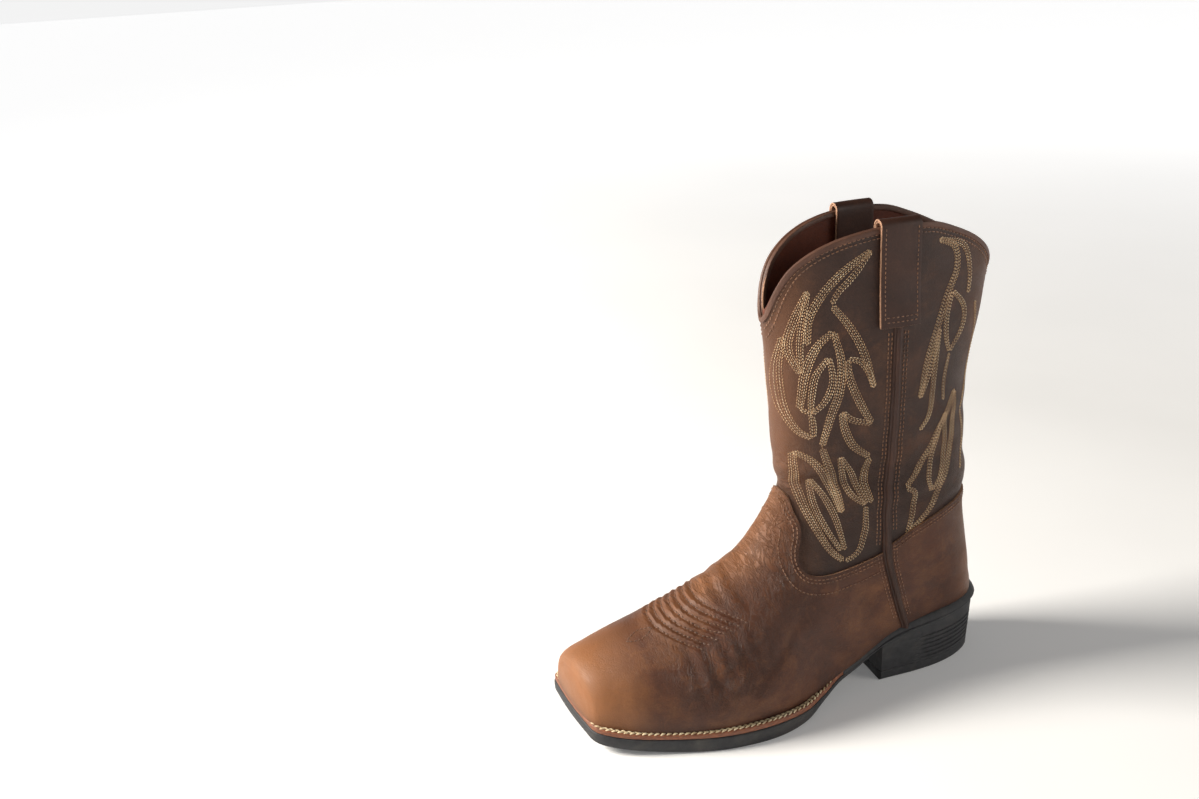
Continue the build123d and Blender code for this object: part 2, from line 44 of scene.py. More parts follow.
# ---------------------------------------------------------------- the last and its lines
# Each station: ridge point (y, z), opposite point (y, z), X of ridge, lateral and medial
# sides, yaw, where it is widest, and how full the four quarters are.
STATIONS = np.array([
    (-138.5, 43.5, -138.5, 7.0, -3, 22.5, -29.0, 6.0, 0.62, 0.66, 0.70, 0.80, 0.80),
    (-136.3, 46.5, -136.3, 6.0, -3, 27.5, -33.0, 6.0, 0.62, 0.66, 0.70, 0.80, 0.80),
    (-131.5, 49.5, -131.5, 4.0, -3, 31.0, -36.0, 5.5, 0.62, 0.66, 0.70, 0.80, 0.80),
    (-122.0, 53.5, -122.0, 2.0, -4, 35.5, -38.5, 4.0, 0.64, 0.62, 0.67, 0.80, 0.80),
    (-108.0, 59.0, -108.0, 0.0, -5, 42.0, -41.5, 2.5, 0.66, 0.58, 0.63, 0.80, 0.80),
    (-84.0, 67.5, -84.0, -2.0, -6, 49.5, -44.5, 0.0, 0.70, 0.53, 0.60, 0.80, 0.80),
    (-60.0, 77.0, -60.0, -3.0, -7, 55.0, -44.5, 0.0, 0.74, 0.49, 0.57, 0.80, 0.80),
    (-39.0, 88.5, -36.0, -3.0, -7, 56.5, -42.0, 0.0, 0.77, 0.46, 0.56, 0.80, 0.80),
    (-18.0, 102.0, -3.0, -3.0, -7, 52.5, -37.5, 0.0, 0.78, 0.45, 0.56, 0.80, 0.80),
    (-5.0, 118.5, 34.0, 2.0, -6, 41.0, -31.5, 0.0, 0.74, 0.48, 0.58, 0.78, 0.78),
    (2.5, 132.0, 76.0, 12.0, -4, 35.0, -31.5, 0.0, 0.68, 0.50, 0.60, 0.74, 0.74),
    (6.5, 140.5, 116.0, 20.0, -3, 33.5, -33.0, 0.0, 0.64, 0.50, 0.60, 0.70, 0.70),
    (8.0, 146.5, 150.5, 38.0, -2, 33.5, -34.0, 0.0, 0.62, 0.50, 0.60, 0.64, 0.62),
    (8.0, 152.0, 151.0, 63.0, -1.5, 34.5, -34.5, 0.0, 0.62, 0.50, 0.60, 0.60, 0.58),
    (7.2, 158.5, 147.5, 88.0, -1, 34.5, -34.0, 0.0, 0.60, 0.50, 0.60, 0.58, 0.56),
    (6.0, 167.0, 143.5, 113.0, 0, 34.5, -34.0, 0.0, 0.58, 0.50, 0.60, 0.58, 0.56),
    (4.8, 178.0, 143.5, 140.0, 0, 35.0, -34.5, 0.0, 0.56, 0.50, 0.60, 0.58, 0.56),
    (3.6, 192.0, 142.0, 166.0, 0, 36.0, -35.5, 0.0, 0.55, 0.50, 0.60, 0.58, 0.56),
    (2.2, 208.0, 141.0, 194.0, 0, 36.5, -36.5, 0.0, 0.54, 0.48, 0.60, 0.58, 0.56),
    (-0.6, 230.0, 144.0, 226.0, 0, 35.5, -36.0, 0.0, 0.53, 0.44, 0.60, 0.58, 0.56),
    (-3.2, 254.0, 150.5, 256.0, 0, 33.0, -34.0, 0.0, 0.53, 0.38, 0.60, 0.58, 0.56),
    (-6.5, 284.0, 155.5, 284.0, 0, 30.5, -32.0, 0.0, 0.53, 0.32, 0.60, 0.58, 0.56),
    (-10.0, 325.0, 158.5, 325.0, 0, 28.5, -30.5, 0.0, 0.53, 0.28, 0.60, 0.58, 0.56)])

FEATHER = [(-170, 25.5), (-147, 21), (-133, 18.3), (-110, 15.2), (-80, 13.7), (-42, 13.6),
           (-5, 14), (10, 14.3), (22, 15.6), (34, 19.7), (50, 24.2), (65, 32), (73, 36.4),
           (84, 40.6), (98, 43.2), (116, 45), (136, 46.3), (180, 50)]
UNDERSIDE = [(-170, 13), (-147, 9.3), (-120, 4.5), (-90, 1.2), (-60, 0), (-30, 0), (-10, 1),
             (10, 4.3), (22, 8), (34, 12.5), (50, 17.5), (65, 26), (73, 30), (84, 33),
             (100, 36), (130, 38.5), (180, 42)]
RUBBER_TOP = [(-170, 21), (-147, 17), (-133, 14.7), (-110, 11.8), (-80, 10.2), (-42, 10),
              (-5, 10.4), (10, 10.8), (22, 12), (34, 16.2), (50, 20.8), (65, 28.6), (73, 33),
              (84, 37), (98, 39.6), (116, 41.4), (136, 42.4), (180, 45)]
LATERAL_SEAM = [(74, 330), (73, 260), (71, 225), (70, 180), (70, 120), (71.5, 96), (75, 80),
                (82, 55), (88, 38), (94, 5)]
MEDIAL_SEAM = [(77, 330), (77, 200), (77, 5)]
VAMP_LINE = [(-20, 148), (0, 148.5), (6, 147), (10, 143), (12.2, 134), (15, 125), (14, 117),
             (11.5, 110), (10.7, 103), (13.5, 96.5), (20, 93), (30, 92), (42, 93.4), (56, 96.6),
             (72, 102), (90, 108)]
COUNTER_LINE = [(60, 99), (70, 104), (79, 110), (90, 116), (103, 120.5), (118, 124),
                (136, 126), (170, 127)]
TOPLINE = [(-14, 246), (-8, 252), (-5, 262), (0.7, 283), (8, 296), (19, 305.3), (33, 312),
           (48, 316), (62, 318), (74, 318.5), (88, 318.4), (100, 317), (112, 313), (133, 303),
           (148, 290.5), (156, 276), (161, 262)]
LATERAL_EDGE = [(30.5, -137.5), (40, -121), (51, -90), (59, -62), (61.5, -42), (61, -20),
                (56, 2), (46.5, 19), (38.5, 36), (34.5, 54), (34, 76), (34, 98), (31.5, 120),
                (25, 139)]
MEDIAL_EDGE = [(-39.5, -144.5), (-44, -124), (-48, -100), (-50, -72), (-49, -48),
               (-44.5, -24), (-37.5, 0), (-32, 20), (-29.5, 40), (-30.5, 60), (-33, 80),
               (-34.5, 102), (-32, 124), (-25, 142)]
HEEL_BACK = [(15, 152.5), (0, 157.5), (-15, 154)]
STRAP_Y = (60.0, 87.0)


def lengths(q):
    """How far along a line each of its points lies."""
    return np.concatenate([[0], np.cumsum(np.linalg.norm(np.diff(q, axis=0), axis=1))])


def resample(q, at):
    """The points of a line at the given distances along it."""
    s = lengths(q)
    return np.stack([np.interp(at, s, q[:, k]) for k in range(q.shape[1])], 1)


def closed_line(q, count):
    """An open line closed, with its points evenly spaced."""
    q = np.vstack([q, q[:1]])
    return resample(q, np.linspace(0, lengths(q)[-1], count, endpoint=False))


def smooth_line(points, count):
    """A Catmull-Rom curve through the points, resampled evenly by length."""
    p = np.array(points, float)
    p = np.vstack([2 * p[0] - p[1], p, 2 * p[-1] - p[-2]])
    out = []
    for i in range(1, len(p) - 2):
        a, b, c, d = p[i - 1], p[i], p[i + 1], p[i + 2]
        ta, tb, tc = [max(np.linalg.norm(q - r), 1e-6) ** 0.5 for q, r in ((b, a), (c, b), (d, c))]
        m1 = (c - b) + tb * ((b - a) / ta - (c - a) / (ta + tb))
        m2 = (c - b) + tb * ((d - c) / tc - (d - b) / (tb + tc))
        t = np.linspace(0, 1, 24, endpoint=False)[:, None]
        out.append((2 * t**3 - 3 * t**2 + 1) * b + (t**3 - 2 * t**2 + t) * m1
                   + (-2 * t**3 + 3 * t**2) * c + (t**3 - t**2) * m2)
    out.append(p[-2][None])
    q = np.vstack(out)
    return resample(q, np.linspace(0, lengths(q)[-1], count))


def as_function(points, key=0, value=1):
    """A smooth single-valued curve read off the points, value against key."""
    q = smooth_line(points, 600)
    order = np.argsort(q[:, key])
    return lambda v: np.interp(v, q[order, key], q[order, value])


feather_z = as_function(FEATHER)
sole_low = as_function(UNDERSIDE)
rubber_z = as_function(RUBBER_TOP)
lateral_seam_y = as_function(LATERAL_SEAM, 1, 0)
medial_seam_y = as_function(MEDIAL_SEAM, 1, 0)
topline_z = as_function(TOPLINE)


def underside_z(y):
    """The sole's underside; it never goes below the ground."""
    return np.maximum(sole_low(y), 0.0)


def seam_on(side):
    """The side seam's curve y(z): side is +1 lateral, -1 medial."""
    return lateral_seam_y if side > 0 else medial_seam_y


def station_at(s):
    """Station values at the fractional places s, by uniform Catmull-Rom."""
    n = len(STATIONS)
    ext = np.vstack([2 * STATIONS[0] - STATIONS[1], STATIONS, 2 * STATIONS[-1] - STATIONS[-2]])
    i = np.clip(np.floor(s).astype(int), 0, n - 2)
    t = (s - i)[:, None]
    a, b, c, d = ext[i], ext[i + 1], ext[i + 2], ext[i + 3]
    return 0.5 * (2 * b + (c - a) * t + (2 * a - 5 * b + 4 * c - d) * t**2
                  + (3 * b - a - 3 * c + d) * t**3)


def bezier(p0, p1, p2, p3, t):
    """A cubic curve's place at t, for whole grids at once."""
    return (1 - t)**3 * p0 + 3 * (1 - t)**2 * t * p1 + 3 * (1 - t) * t**2 * p2 + t**3 * p3


def form_grid(s, u):
    """Outside of the upper over a grid of station places s and turns u in 0..4."""
    v = station_at(s)
    ty, tz, by, bz, xr, xl, xm, yaw, wide, fa, fb, ba, bb = [c[:, None] for c in v.T]
    run = np.hypot(by - ty, bz - tz)
    ey, ez = (by - ty) / run, (bz - tz) / run
    a = wide * run
    q = np.clip(np.floor(u), 0, 3)[None, :]
    t = u[None, :] - q
    wl, wm = xl - xr, xm - xr
    z0 = np.zeros_like(a)
    quarters = [
        (bezier(z0, wl * fa, wl, wl, t), bezier(z0, z0, a * (1 - fb), a, t)),
        (bezier(wl, wl, wl * ba, z0, t), bezier(a, a + (run - a) * bb, run, run, t)),
        (bezier(z0, wm * ba, wm, wm, t), bezier(run, run, a + (run - a) * bb, a, t)),
        (bezier(wm, wm, wm * fa, z0, t), bezier(a, a * (1 - fb), z0, z0, t))]
    x = sum(np.where(q == k, quarters[k][0], 0) for k in range(4))
    w = sum(np.where(q == k, quarters[k][1], 0) for k in range(4))
    turn = np.radians(yaw)
    px = xr + x * np.cos(turn)
    py = ty + w * ey + x * np.sin(turn)
    pz = tz + w * ez
    return np.stack([px, py, pz], -1)


def grid_normals(g):
    """Outward normals of a grid whose rows are closed rings."""
    n = np.cross(np.gradient(g, axis=0), np.roll(g, -1, 1) - np.roll(g, 1, 1))
    n /= np.maximum(np.linalg.norm(n, axis=-1, keepdims=True), 1e-9)
    return n * np.sign(((g - g.mean(1, keepdims=True)) * n).sum(-1).mean())


def strip_quads(rows, n, closed=True):
    """Four-sided faces between rows of n points; closed joins each row's ends."""
    i = np.arange(rows - 1)[:, None] * n
    j = np.arange(n if closed else n - 1)[None, :]
    k = (j + 1) % n
    return np.stack([i + j, i + k, i + n + k, i + n + j], -1).reshape(-1, 4)


def split(quads):
    """Two triangles for each four-sided face."""
    return np.concatenate([quads[:, [0, 1, 2]], quads[:, [0, 2, 3]]])


def tube_faces(rows, n):
    """Faces of a tube of closed rows, with one face over each end."""
    top = (rows - 1) * n
    return strip_quads(rows, n).tolist() + [list(range(n))[::-1], list(range(top, top + n))]


ROWS = TURNS = 260
TOE_END_Y = -138.9
TOE_BULGE = 1.7         # how far the middle of the toe's end stands out
TOE_RINGS = (0.04, 0.2, 0.36, 0.52, 0.68, 0.8, 0.9, 0.96)     # sizes of the rings over the end
TOE_YAW = math.radians(6)
TOE_WAY = np.array([math.sin(TOE_YAW), -math.cos(TOE_YAW), 0])    # outwards from the toe's end


def skin_mesh(offset):
    """The upper's whole skin as triangles (mm), pushed out by offset(points) along its normal."""
    s = np.concatenate([np.linspace(0, 2, 14, endpoint=False), np.linspace(2, 22, ROWS)])
    g = form_grid(s, np.arange(TURNS) * 4 / TURNS)
    n = grid_normals(g)
    centre = g[0].mean(0)
    centre[1] = TOE_END_Y
    rings = []
    for k in TOE_RINGS:
        ring = centre + (g[0] - centre) * k
        ring[:, 1] -= TOE_BULGE * (1 - k**3)
        rings.append(ring)
    first = len(rings)
    g = np.concatenate([np.array(rings), g])
    n = np.concatenate([np.tile(TOE_WAY, (first, TURNS, 1)), n])
    # the normals turn gradually from the toe's end to its sides
    for r in range(first - 3, first + 6):
        w = (r - (first - 3)) / 9
        turning = (1 - w) * TOE_WAY + w * n[first + 6]
        n[r] = turning / np.linalg.norm(turning, axis=-1, keepdims=True)
    pts = g.reshape(-1, 3)
    pts = pts + n.reshape(-1, 3) * offset(pts)[:, None]
    j = np.arange(TURNS)
    tip = np.stack([np.full(TURNS, len(pts)), (j + 1) % TURNS, j], 1)
    tris = np.concatenate([split(strip_quads(len(g), TURNS)), tip])
    return np.vstack([pts, pts[:TURNS].mean(0)]), tris


def clip(pts, tris, field):
    """Keeps the part of a triangle mesh where field >= 0, cutting exactly along field = 0."""
    f = field(pts)
    f = np.where(np.abs(f) < 1e-4, 1e-4, f)
    inside = f > 0
    count = inside[tris].sum(1)
    made = {}
    extra = []

    def cut(a, b):
        key = (a, b) if a < b else (b, a)
        if key not in made:
            t = f[key[0]] / (f[key[0]] - f[key[1]])
            extra.append(pts[key[0]] + (pts[key[1]] - pts[key[0]]) * t)
            made[key] = len(pts) + len(extra) - 1
        return made[key]

    out = []
    for tri in tris[(count > 0) & (count < 3)]:
        single = inside[tri].sum() == 1
        k = int(np.argmax(inside[tri] == single))      # the corner alone on its side
        a, b, c = tri[k], tri[(k + 1) % 3], tri[(k + 2) % 3]
        p, q = cut(a, b), cut(c, a)
        out += [(a, p, q)] if single else [(p, b, c), (p, c, q)]
    kept = tris[count == 3]
    if out:
        kept = np.vstack([kept, np.array(out)])
        pts = np.vstack([pts, np.array(extra)])
    used, kept = np.unique(kept, return_inverse=True)
    return pts[used], kept.reshape(-1, 3)


CHUNK = 20000       # points measured at once, to keep memory small


def side_curve_field(line):
    """Signed distance in side view from a curve that runs towards +Y; positive below it."""
    q = smooth_line(line, 500)
    seg = np.diff(q, axis=0)
    seg /= np.linalg.norm(seg, axis=1)[:, None]

    def field(pts):
        out = np.empty(len(pts))
        for start in range(0, len(pts), CHUNK):
            p = pts[start:start + CHUNK, 1:]
            d = ((p[:, None, :] - q[None, ::4, :])**2).sum(-1)
            near = np.minimum(d.argmin(1) * 4, len(seg) - 1)
            best = np.full(len(p), 1e18)
            sign = np.zeros(len(p))
            for step in range(-4, 5):
                j = np.clip(near + step, 0, len(seg) - 1)
                r = p - q[j]
                t = np.clip((r * seg[j]).sum(1), 0, np.linalg.norm(q[j + 1] - q[j], axis=1))
                dist = np.linalg.norm(r - seg[j] * t[:, None], axis=1)
                turn = seg[j][:, 1] * r[:, 0] - seg[j][:, 0] * r[:, 1]
                better = dist < best
                best = np.where(better, dist, best)
                sign = np.where(better, np.sign(turn), sign)
            out[start:start + CHUNK] = best * sign
        return out
    return field


def seam_field(pts):
    """Positive in front of the side seams, in side view."""
    y = np.where(pts[:, 0] > 0, lateral_seam_y(pts[:, 2]), medial_seam_y(pts[:, 2]))
    return y - pts[:, 1]


# ---------------------------------------------------------------- making meshes
def add_object(name, data):
    """A new object in the scene."""
    ob = bpy.data.objects.new(name, data)
    bpy.context.scene.collection.objects.link(ob)
    return ob


def make_mesh(name, pts, faces, angle=35):
    """A new smooth object from points in the last's frame, mm; edges over the angle stay sharp."""
    me = bpy.data.meshes.new(name)
    me.from_pydata(((pts + SHIFT) * MM).tolist(), [],
                   faces.tolist() if isinstance(faces, np.ndarray) else faces)
    me.validate()
    me.update()
    me.polygons.foreach_set("use_smooth", [True] * len(me.polygons))
    me.update()
    if angle:
        me.set_sharp_from_angle(angle=math.radians(angle))
    return add_object(name, me)


def finish_piece(ob, material, nodes=()):
    """Material, body and replaced nodes; a thickened piece gets a second, cut-edge look."""
    if len(ob.data.materials) == 2:
        ob.data.materials[0] = material
        ob.data.materials[1] = EDGE
    else:
        ob.data.materials.append(material)
    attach(ob, "root")
    if nodes:
        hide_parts(*nodes)
    return ob


def thicken(ob, thickness, bevel):
    """Gives a skin its thickness inwards and rounds its cut edges."""
    for _ in range(2):
        ob.data.materials.append(bpy.data.materials.new("blank"))
    mod = ob.modifiers.new("thick", "SOLIDIFY")
    mod.material_offset_rim = 1
    mod.thickness = thickness * MM
    mod.offset = -1
    mod.use_rim = True
    if bevel:
        b = ob.modifiers.new("edge", "BEVEL")
        b.width = bevel * MM
        b.segments = 2
        b.limit_method = "ANGLE"
        b.angle_limit = math.radians(50)
    dg = bpy.context.evaluated_depsgraph_get()
    me = bpy.data.meshes.new_from_object(ob.evaluated_get(dg))
    ob.modifiers.clear()
    old = ob.data
    ob.data = me
    bpy.data.meshes.remove(old)
    me.polygons.foreach_set("use_smooth", [True] * len(me.polygons))
    me.set_sharp_from_angle(angle=math.radians(40))
    return ob


# ---------------------------------------------------------------- materials
def rgb(r, g, b):
    """sRGB 0..255 to linear."""
    return tuple(((v / 255) / 12.92 if v / 255 <= 0.04045 else ((v / 255 + 0.055) / 1.055)**2.4)
                 for v in (r, g, b)) + (1.0,)


class Nodes:
    """Short hands for one material's node tree."""

    def __init__(self, name):
        self.mat = bpy.data.materials.new(name)
        self.mat.use_nodes = True
        self.t = self.mat.node_tree
        self.bsdf = self.t.nodes["Principled BSDF"]
        self.obj = self.new("TexCoord").outputs["Object"]

    def link(self, a, b):
        self.t.links.new(a, b)

    def put(self, sock, value):
        """Sets a socket to a value, or links it to another node's output."""
        if isinstance(value, (int, float, tuple)):
            sock.default_value = value
        else:
            self.link(value, sock)

    def new(self, kind, **inputs):
        """A node with some of its sockets set or linked."""
        n = self.t.nodes.new("ShaderNode" + kind)
        for name, value in inputs.items():
            self.put(n.inputs[name], value)
        return n

    def noise(self, scale, detail=3.0, rough=0.55, vector=None, distort=0.0):
        return self.new("TexNoise", Scale=scale, Detail=detail, Roughness=rough,
                        Distortion=distort, Vector=vector or self.obj).outputs["Fac"]

    def cells(self, scale):
        n = self.new("TexVoronoi", Scale=scale, Vector=self.obj)
        n.feature = "DISTANCE_TO_EDGE"
        return n.outputs["Distance"]

    def ramp(self, fac, stops):
        """Grey or coloured stops (place, value) over fac."""
        n = self.new("ValToRGB", Fac=fac)
        while len(n.color_ramp.elements) < len(stops):
            n.color_ramp.elements.new(0.5)
        for e, (pos, col) in zip(n.color_ramp.elements, stops):
            e.position = pos
            e.color = col if isinstance(col, tuple) else (col, col, col, 1)
        return n.outputs["Color"]

    def two(self, fac, a, b, low=0.3, high=0.7):
        """From a to b as fac goes from low to high."""
        return self.ramp(fac, [(low, a), (high, b)])

    def mix(self, fac, a, b, mode="MIX"):
        n = self.new("Mix")
        n.data_type = "RGBA"
        n.blend_type = mode
        for sock, value in (("Factor", fac), (6, a), (7, b)):
            self.put(n.inputs[sock], value)
        return n.outputs[2]

    def math(self, op, a, b, clamp=False):
        n = self.new("Math")
        n.operation = op
        n.use_clamp = clamp
        self.put(n.inputs[0], a)
        self.put(n.inputs[1], b)
        return n.outputs[0]

    def times(self, a, b, clamp=False):
        return self.math("MULTIPLY", a, b, clamp)

    def stretch(self, sx, sy, sz):
        return self.new("Mapping", Scale=(sx, sy, sz), Vector=self.obj).outputs["Vector"]

    def attr(self, name):
        n = self.new("Attribute")
        n.attribute_name = name
        return n.outputs["Fac"]

    def bump(self, height, distance, strength=1.0, after=None):
        n = self.new("Bump", Distance=distance, Strength=strength, Height=height)
        if after is not None:
            self.link(after, n.inputs["Normal"])
        return n.outputs["Normal"]

    def done(self, colour, rough, normal=None, **sockets):
        """Sets the surface's colour, roughness and normal, and other sockets by name."""
        self.put(self.bsdf.inputs["Base Color"], colour)
        self.put(self.bsdf.inputs["Roughness"], rough)
        if normal is not None:
            self.link(normal, self.bsdf.inputs["Normal"])
        for name, value in sockets.items():
            self.put(self.bsdf.inputs[name.replace("_", " ")], value)
        return self.mat


def leather(name, dark, mid, light, rough=(0.42, 0.62), grain=1.0, creases=True, worn_with_painted_light=True):
    """Oiled leather: pebble grain, mottled dye, fine creases with painted shade in them, lighter where
    it is rubbed and where a highlight is painted, darker where dirt and painted shade lie.
    """
    m = Nodes(name)
    # the dye: mottled, clouded, scuffed and stained
    soft_dark = tuple(0.45 * a + 0.55 * b for a, b in zip(dark, mid))
    soft_light = tuple(0.35 * a + 0.65 * b for a, b in zip(light, mid))
    mottled = m.noise(22, 5, 0.6, distort=0.6)
    col = m.ramp(mottled, [(0.28, soft_dark), (0.52, mid), (0.76, soft_light)])
    cloud = m.noise(9, 4, 0.55, distort=0.4)
    col = m.mix(m.two(cloud, 0.0, 0.35, 0.42, 0.75), col, dark)
    scuffs = m.two(m.noise(75, 6, 0.7, distort=1.4), 0.0, 0.15, 0.54, 0.72)
    col = m.mix(scuffs, col, light)
    stains = m.two(m.noise(48, 6, 0.68, distort=1.0), 0.0, 0.26, 0.50, 0.70)
    col = m.mix(stains, col, dark)
    col = m.mix(0.25, col, m.two(m.noise(900, 2, 0.6), 0.25, 0.8), "SOFT_LIGHT")
    # the grain: pebbles with pores between them
    pebble = m.math("MINIMUM", m.times(m.cells(620), 5.0, True), 0.8)
    pores = m.times(m.times(m.cells(1500), 6.0, True), 0.4)
    normal = m.bump(m.math("ADD", pebble, pores), 0.00012 * grain, 0.55)
    if creases:
        # long creases everywhere, fine ones where the leather flexes
        long_noise = m.noise(60, 6, 0.65, vector=m.stretch(0.6, 1.0, 2.6), distort=1.4)
        lines = m.ramp(long_noise, [(0.46, 0.0), (0.5, 1.0), (0.54, 0.0)])
        fine_noise = m.noise(110, 5, 0.6, vector=m.stretch(0.45, 1.9, 1.2), distort=1.8)
        folds = m.ramp(fine_noise, [(0.43, 0.0), (0.5, 1.0), (0.57, 0.0)])
        strong = m.times(folds, m.attr("crease"))
        normal = m.bump(m.math("SUBTRACT", 1.0, m.times(lines, 0.6)), 0.0003, 0.35, normal)
        normal = m.bump(m.math("SUBTRACT", 1.0, strong), 0.0006, 0.75, normal)
        # painted shade: the colour darkens along the long creases, and more along the fine ones where
        # the leather flexes
        col = m.mix(m.times(lines, 0.18), col, dark)
        col = m.mix(m.times(strong, 0.30), col, dark)
    if worn_with_painted_light:
        # lighter where the leather is rubbed, and a painted highlight on the toe, the ridge, the shaft's
        # front fold and the back
        col = m.mix(m.times(m.attr("wear_and_highlight"), 0.75, True), col, light)
        # darker where the leather is dirty, and painted shade along the welt, the rims, the side seams
        # and the topline
        col = m.mix(m.times(m.attr("dirt_and_shade"), 0.8, True), col, dark)
    return m.done(col, m.two(m.noise(40, 4, 0.6), *rough), normal, Specular_IOR_Level=0.34,
                  Coat_Weight=0.04, Coat_Roughness=0.35)


def fibrous(name, dark, light, noise, rough, stops=(0.3, 0.7), bump=0.0002):
    """A matt material whose colour and bumps come from one noise."""
    m = Nodes(name)
    n = m.noise(*noise)
    return m.done(m.two(n, dark, light, *stops), rough, m.bump(n, bump, 0.6))


def thread(name, dark, light):
    """Twisted thread with a soft sheen."""
    m = Nodes(name)
    twist = m.noise(1400, 2, 0.5)
    col = m.two(m.noise(120, 3, 0.6), dark, light)
    col = m.mix(0.35, col, m.two(twist, 0.15, 0.9, 0.35, 0.65), "SOFT_LIGHT")
    return m.done(col, 0.62, m.bump(twist, 0.0001, 0.6), Sheen_Weight=0.25, Sheen_Roughness=0.5)


def rubber():
    """Black rubber, dusty and lightly scuffed."""
    m = Nodes("sole_rubber")
    n = m.noise(260, 4, 0.6)
    col = m.two(n, rgb(34, 34, 36), rgb(54, 54, 56))
    dust = m.two(m.noise(30, 5, 0.65, distort=0.8), 0.0, 0.5, 0.5, 0.78)
    scuff = m.noise(140, 5, 0.7, vector=m.stretch(1, 1, 2.5))
    normal = m.bump(m.noise(1600, 3, 0.6), 0.00012, 0.5, m.bump(scuff, 0.00015, 0.15))
    return m.done(m.mix(dust, col, rgb(84, 78, 72)), m.two(n, 0.5, 0.72), normal,
                  Specular_IOR_Level=0.38)


def welt_leather():
    """Smooth welt leather with grain along its edge."""
    m = Nodes("welt_leather")
    n = m.noise(300, 5, 0.65, vector=m.stretch(1, 1, 4))
    return m.done(m.two(n, rgb(88, 48, 30), rgb(148, 90, 60)), m.two(n, 0.45, 0.65),
                  m.bump(n, 0.0002, 0.5))


def footbed_foam():
    """Foam under soft brown leather."""
    m = Nodes("footbed")
    col = m.two(m.noise(30, 4), rgb(70, 42, 28), rgb(106, 66, 44))
    return m.done(col, 0.8, m.bump(m.noise(500, 4, 0.6), 0.0002, 0.5), Sheen_Weight=0.2)


def steel():
    """Brushed spring steel."""
    m = Nodes("shank_steel")
    n = m.noise(900, 3, 0.6, vector=m.stretch(8, 0.4, 1))
    return m.done(m.two(n, rgb(120, 120, 122), rgb(165, 165, 168)), m.two(n, 0.3, 0.5),
                  m.bump(n, 0.0001, 0.4), Metallic=1.0)


FOOT = leather("foot_leather", rgb(38, 19, 11), rgb(80, 44, 25), rgb(162, 106, 62))
SHAFT = leather("shaft_leather", rgb(28, 16, 11), rgb(56, 33, 22), rgb(128, 82, 50))
PIPING = leather("piping_leather", rgb(30, 17, 11), rgb(56, 32, 21), rgb(90, 54, 34), grain=0.6,
                 creases=False)
STRAP = leather("strap_leather", rgb(32, 17, 11), rgb(58, 32, 20), rgb(96, 58, 36), grain=0.7,
                creases=False)
LINING = leather("lining_leather", rgb(58, 25, 15), rgb(92, 44, 26), rgb(120, 64, 38),
                 rough=(0.5, 0.7), grain=0.6, worn_with_painted_light=False)
RIM = leather("rim_leather", rgb(52, 32, 24), rgb(88, 58, 44), rgb(132, 94, 74), grain=0.8,
              creases=False)
EDGE = fibrous("cut_edge", rgb(112, 74, 54), rgb(188, 146, 116), (700, 4, 0.7), 0.75)
GOLD = thread("embroidery_gold", rgb(144, 106, 70), rgb(202, 162, 116))
CREAM = thread("embroidery_cream", rgb(168, 138, 104), rgb(226, 200, 162))
BROWN = thread("seam_brown", rgb(88, 56, 35), rgb(146, 100, 66))
TAN = thread("row_tan", rgb(66, 40, 24), rgb(112, 74, 47))
ROPE = thread("welt_rope", rgb(164, 138, 98), rgb(232, 214, 176))
RUBBER = rubber()
WELT = welt_leather()
FOAM = footbed_foam()

# ---------------------------------------------------------------- folds and wrinkles
VAMP_ROWS = 7
ROW_STEP = 5.2


def hump(distance, width):
    """1 at distance 0, falling smoothly to 0 within about two widths."""
    return np.exp(-(distance / width)**2)


def rise(v, start, run):
    """0 up to the start, then straight up to 1 over the run."""
    return np.clip((v - start) / run, 0, 1)


def vamp_row_y(x):
    """Plan line of the first ornamental row across the vamp."""
    return -84.5 + 0.0165 * (x + 2)**2


def row_patch(x, y, z):
    """1 inside the ornamental rows, 0 outside."""
    d = y - vamp_row_y(x)
    along = rise(d, -5, 4) * np.clip(((VAMP_ROWS - 1) * ROW_STEP + 4 - d) / 4, 0, 1)
    return along * np.clip((38 - np.abs(x + 1)) / 8, 0, 1) * rise(z, 50, 8)


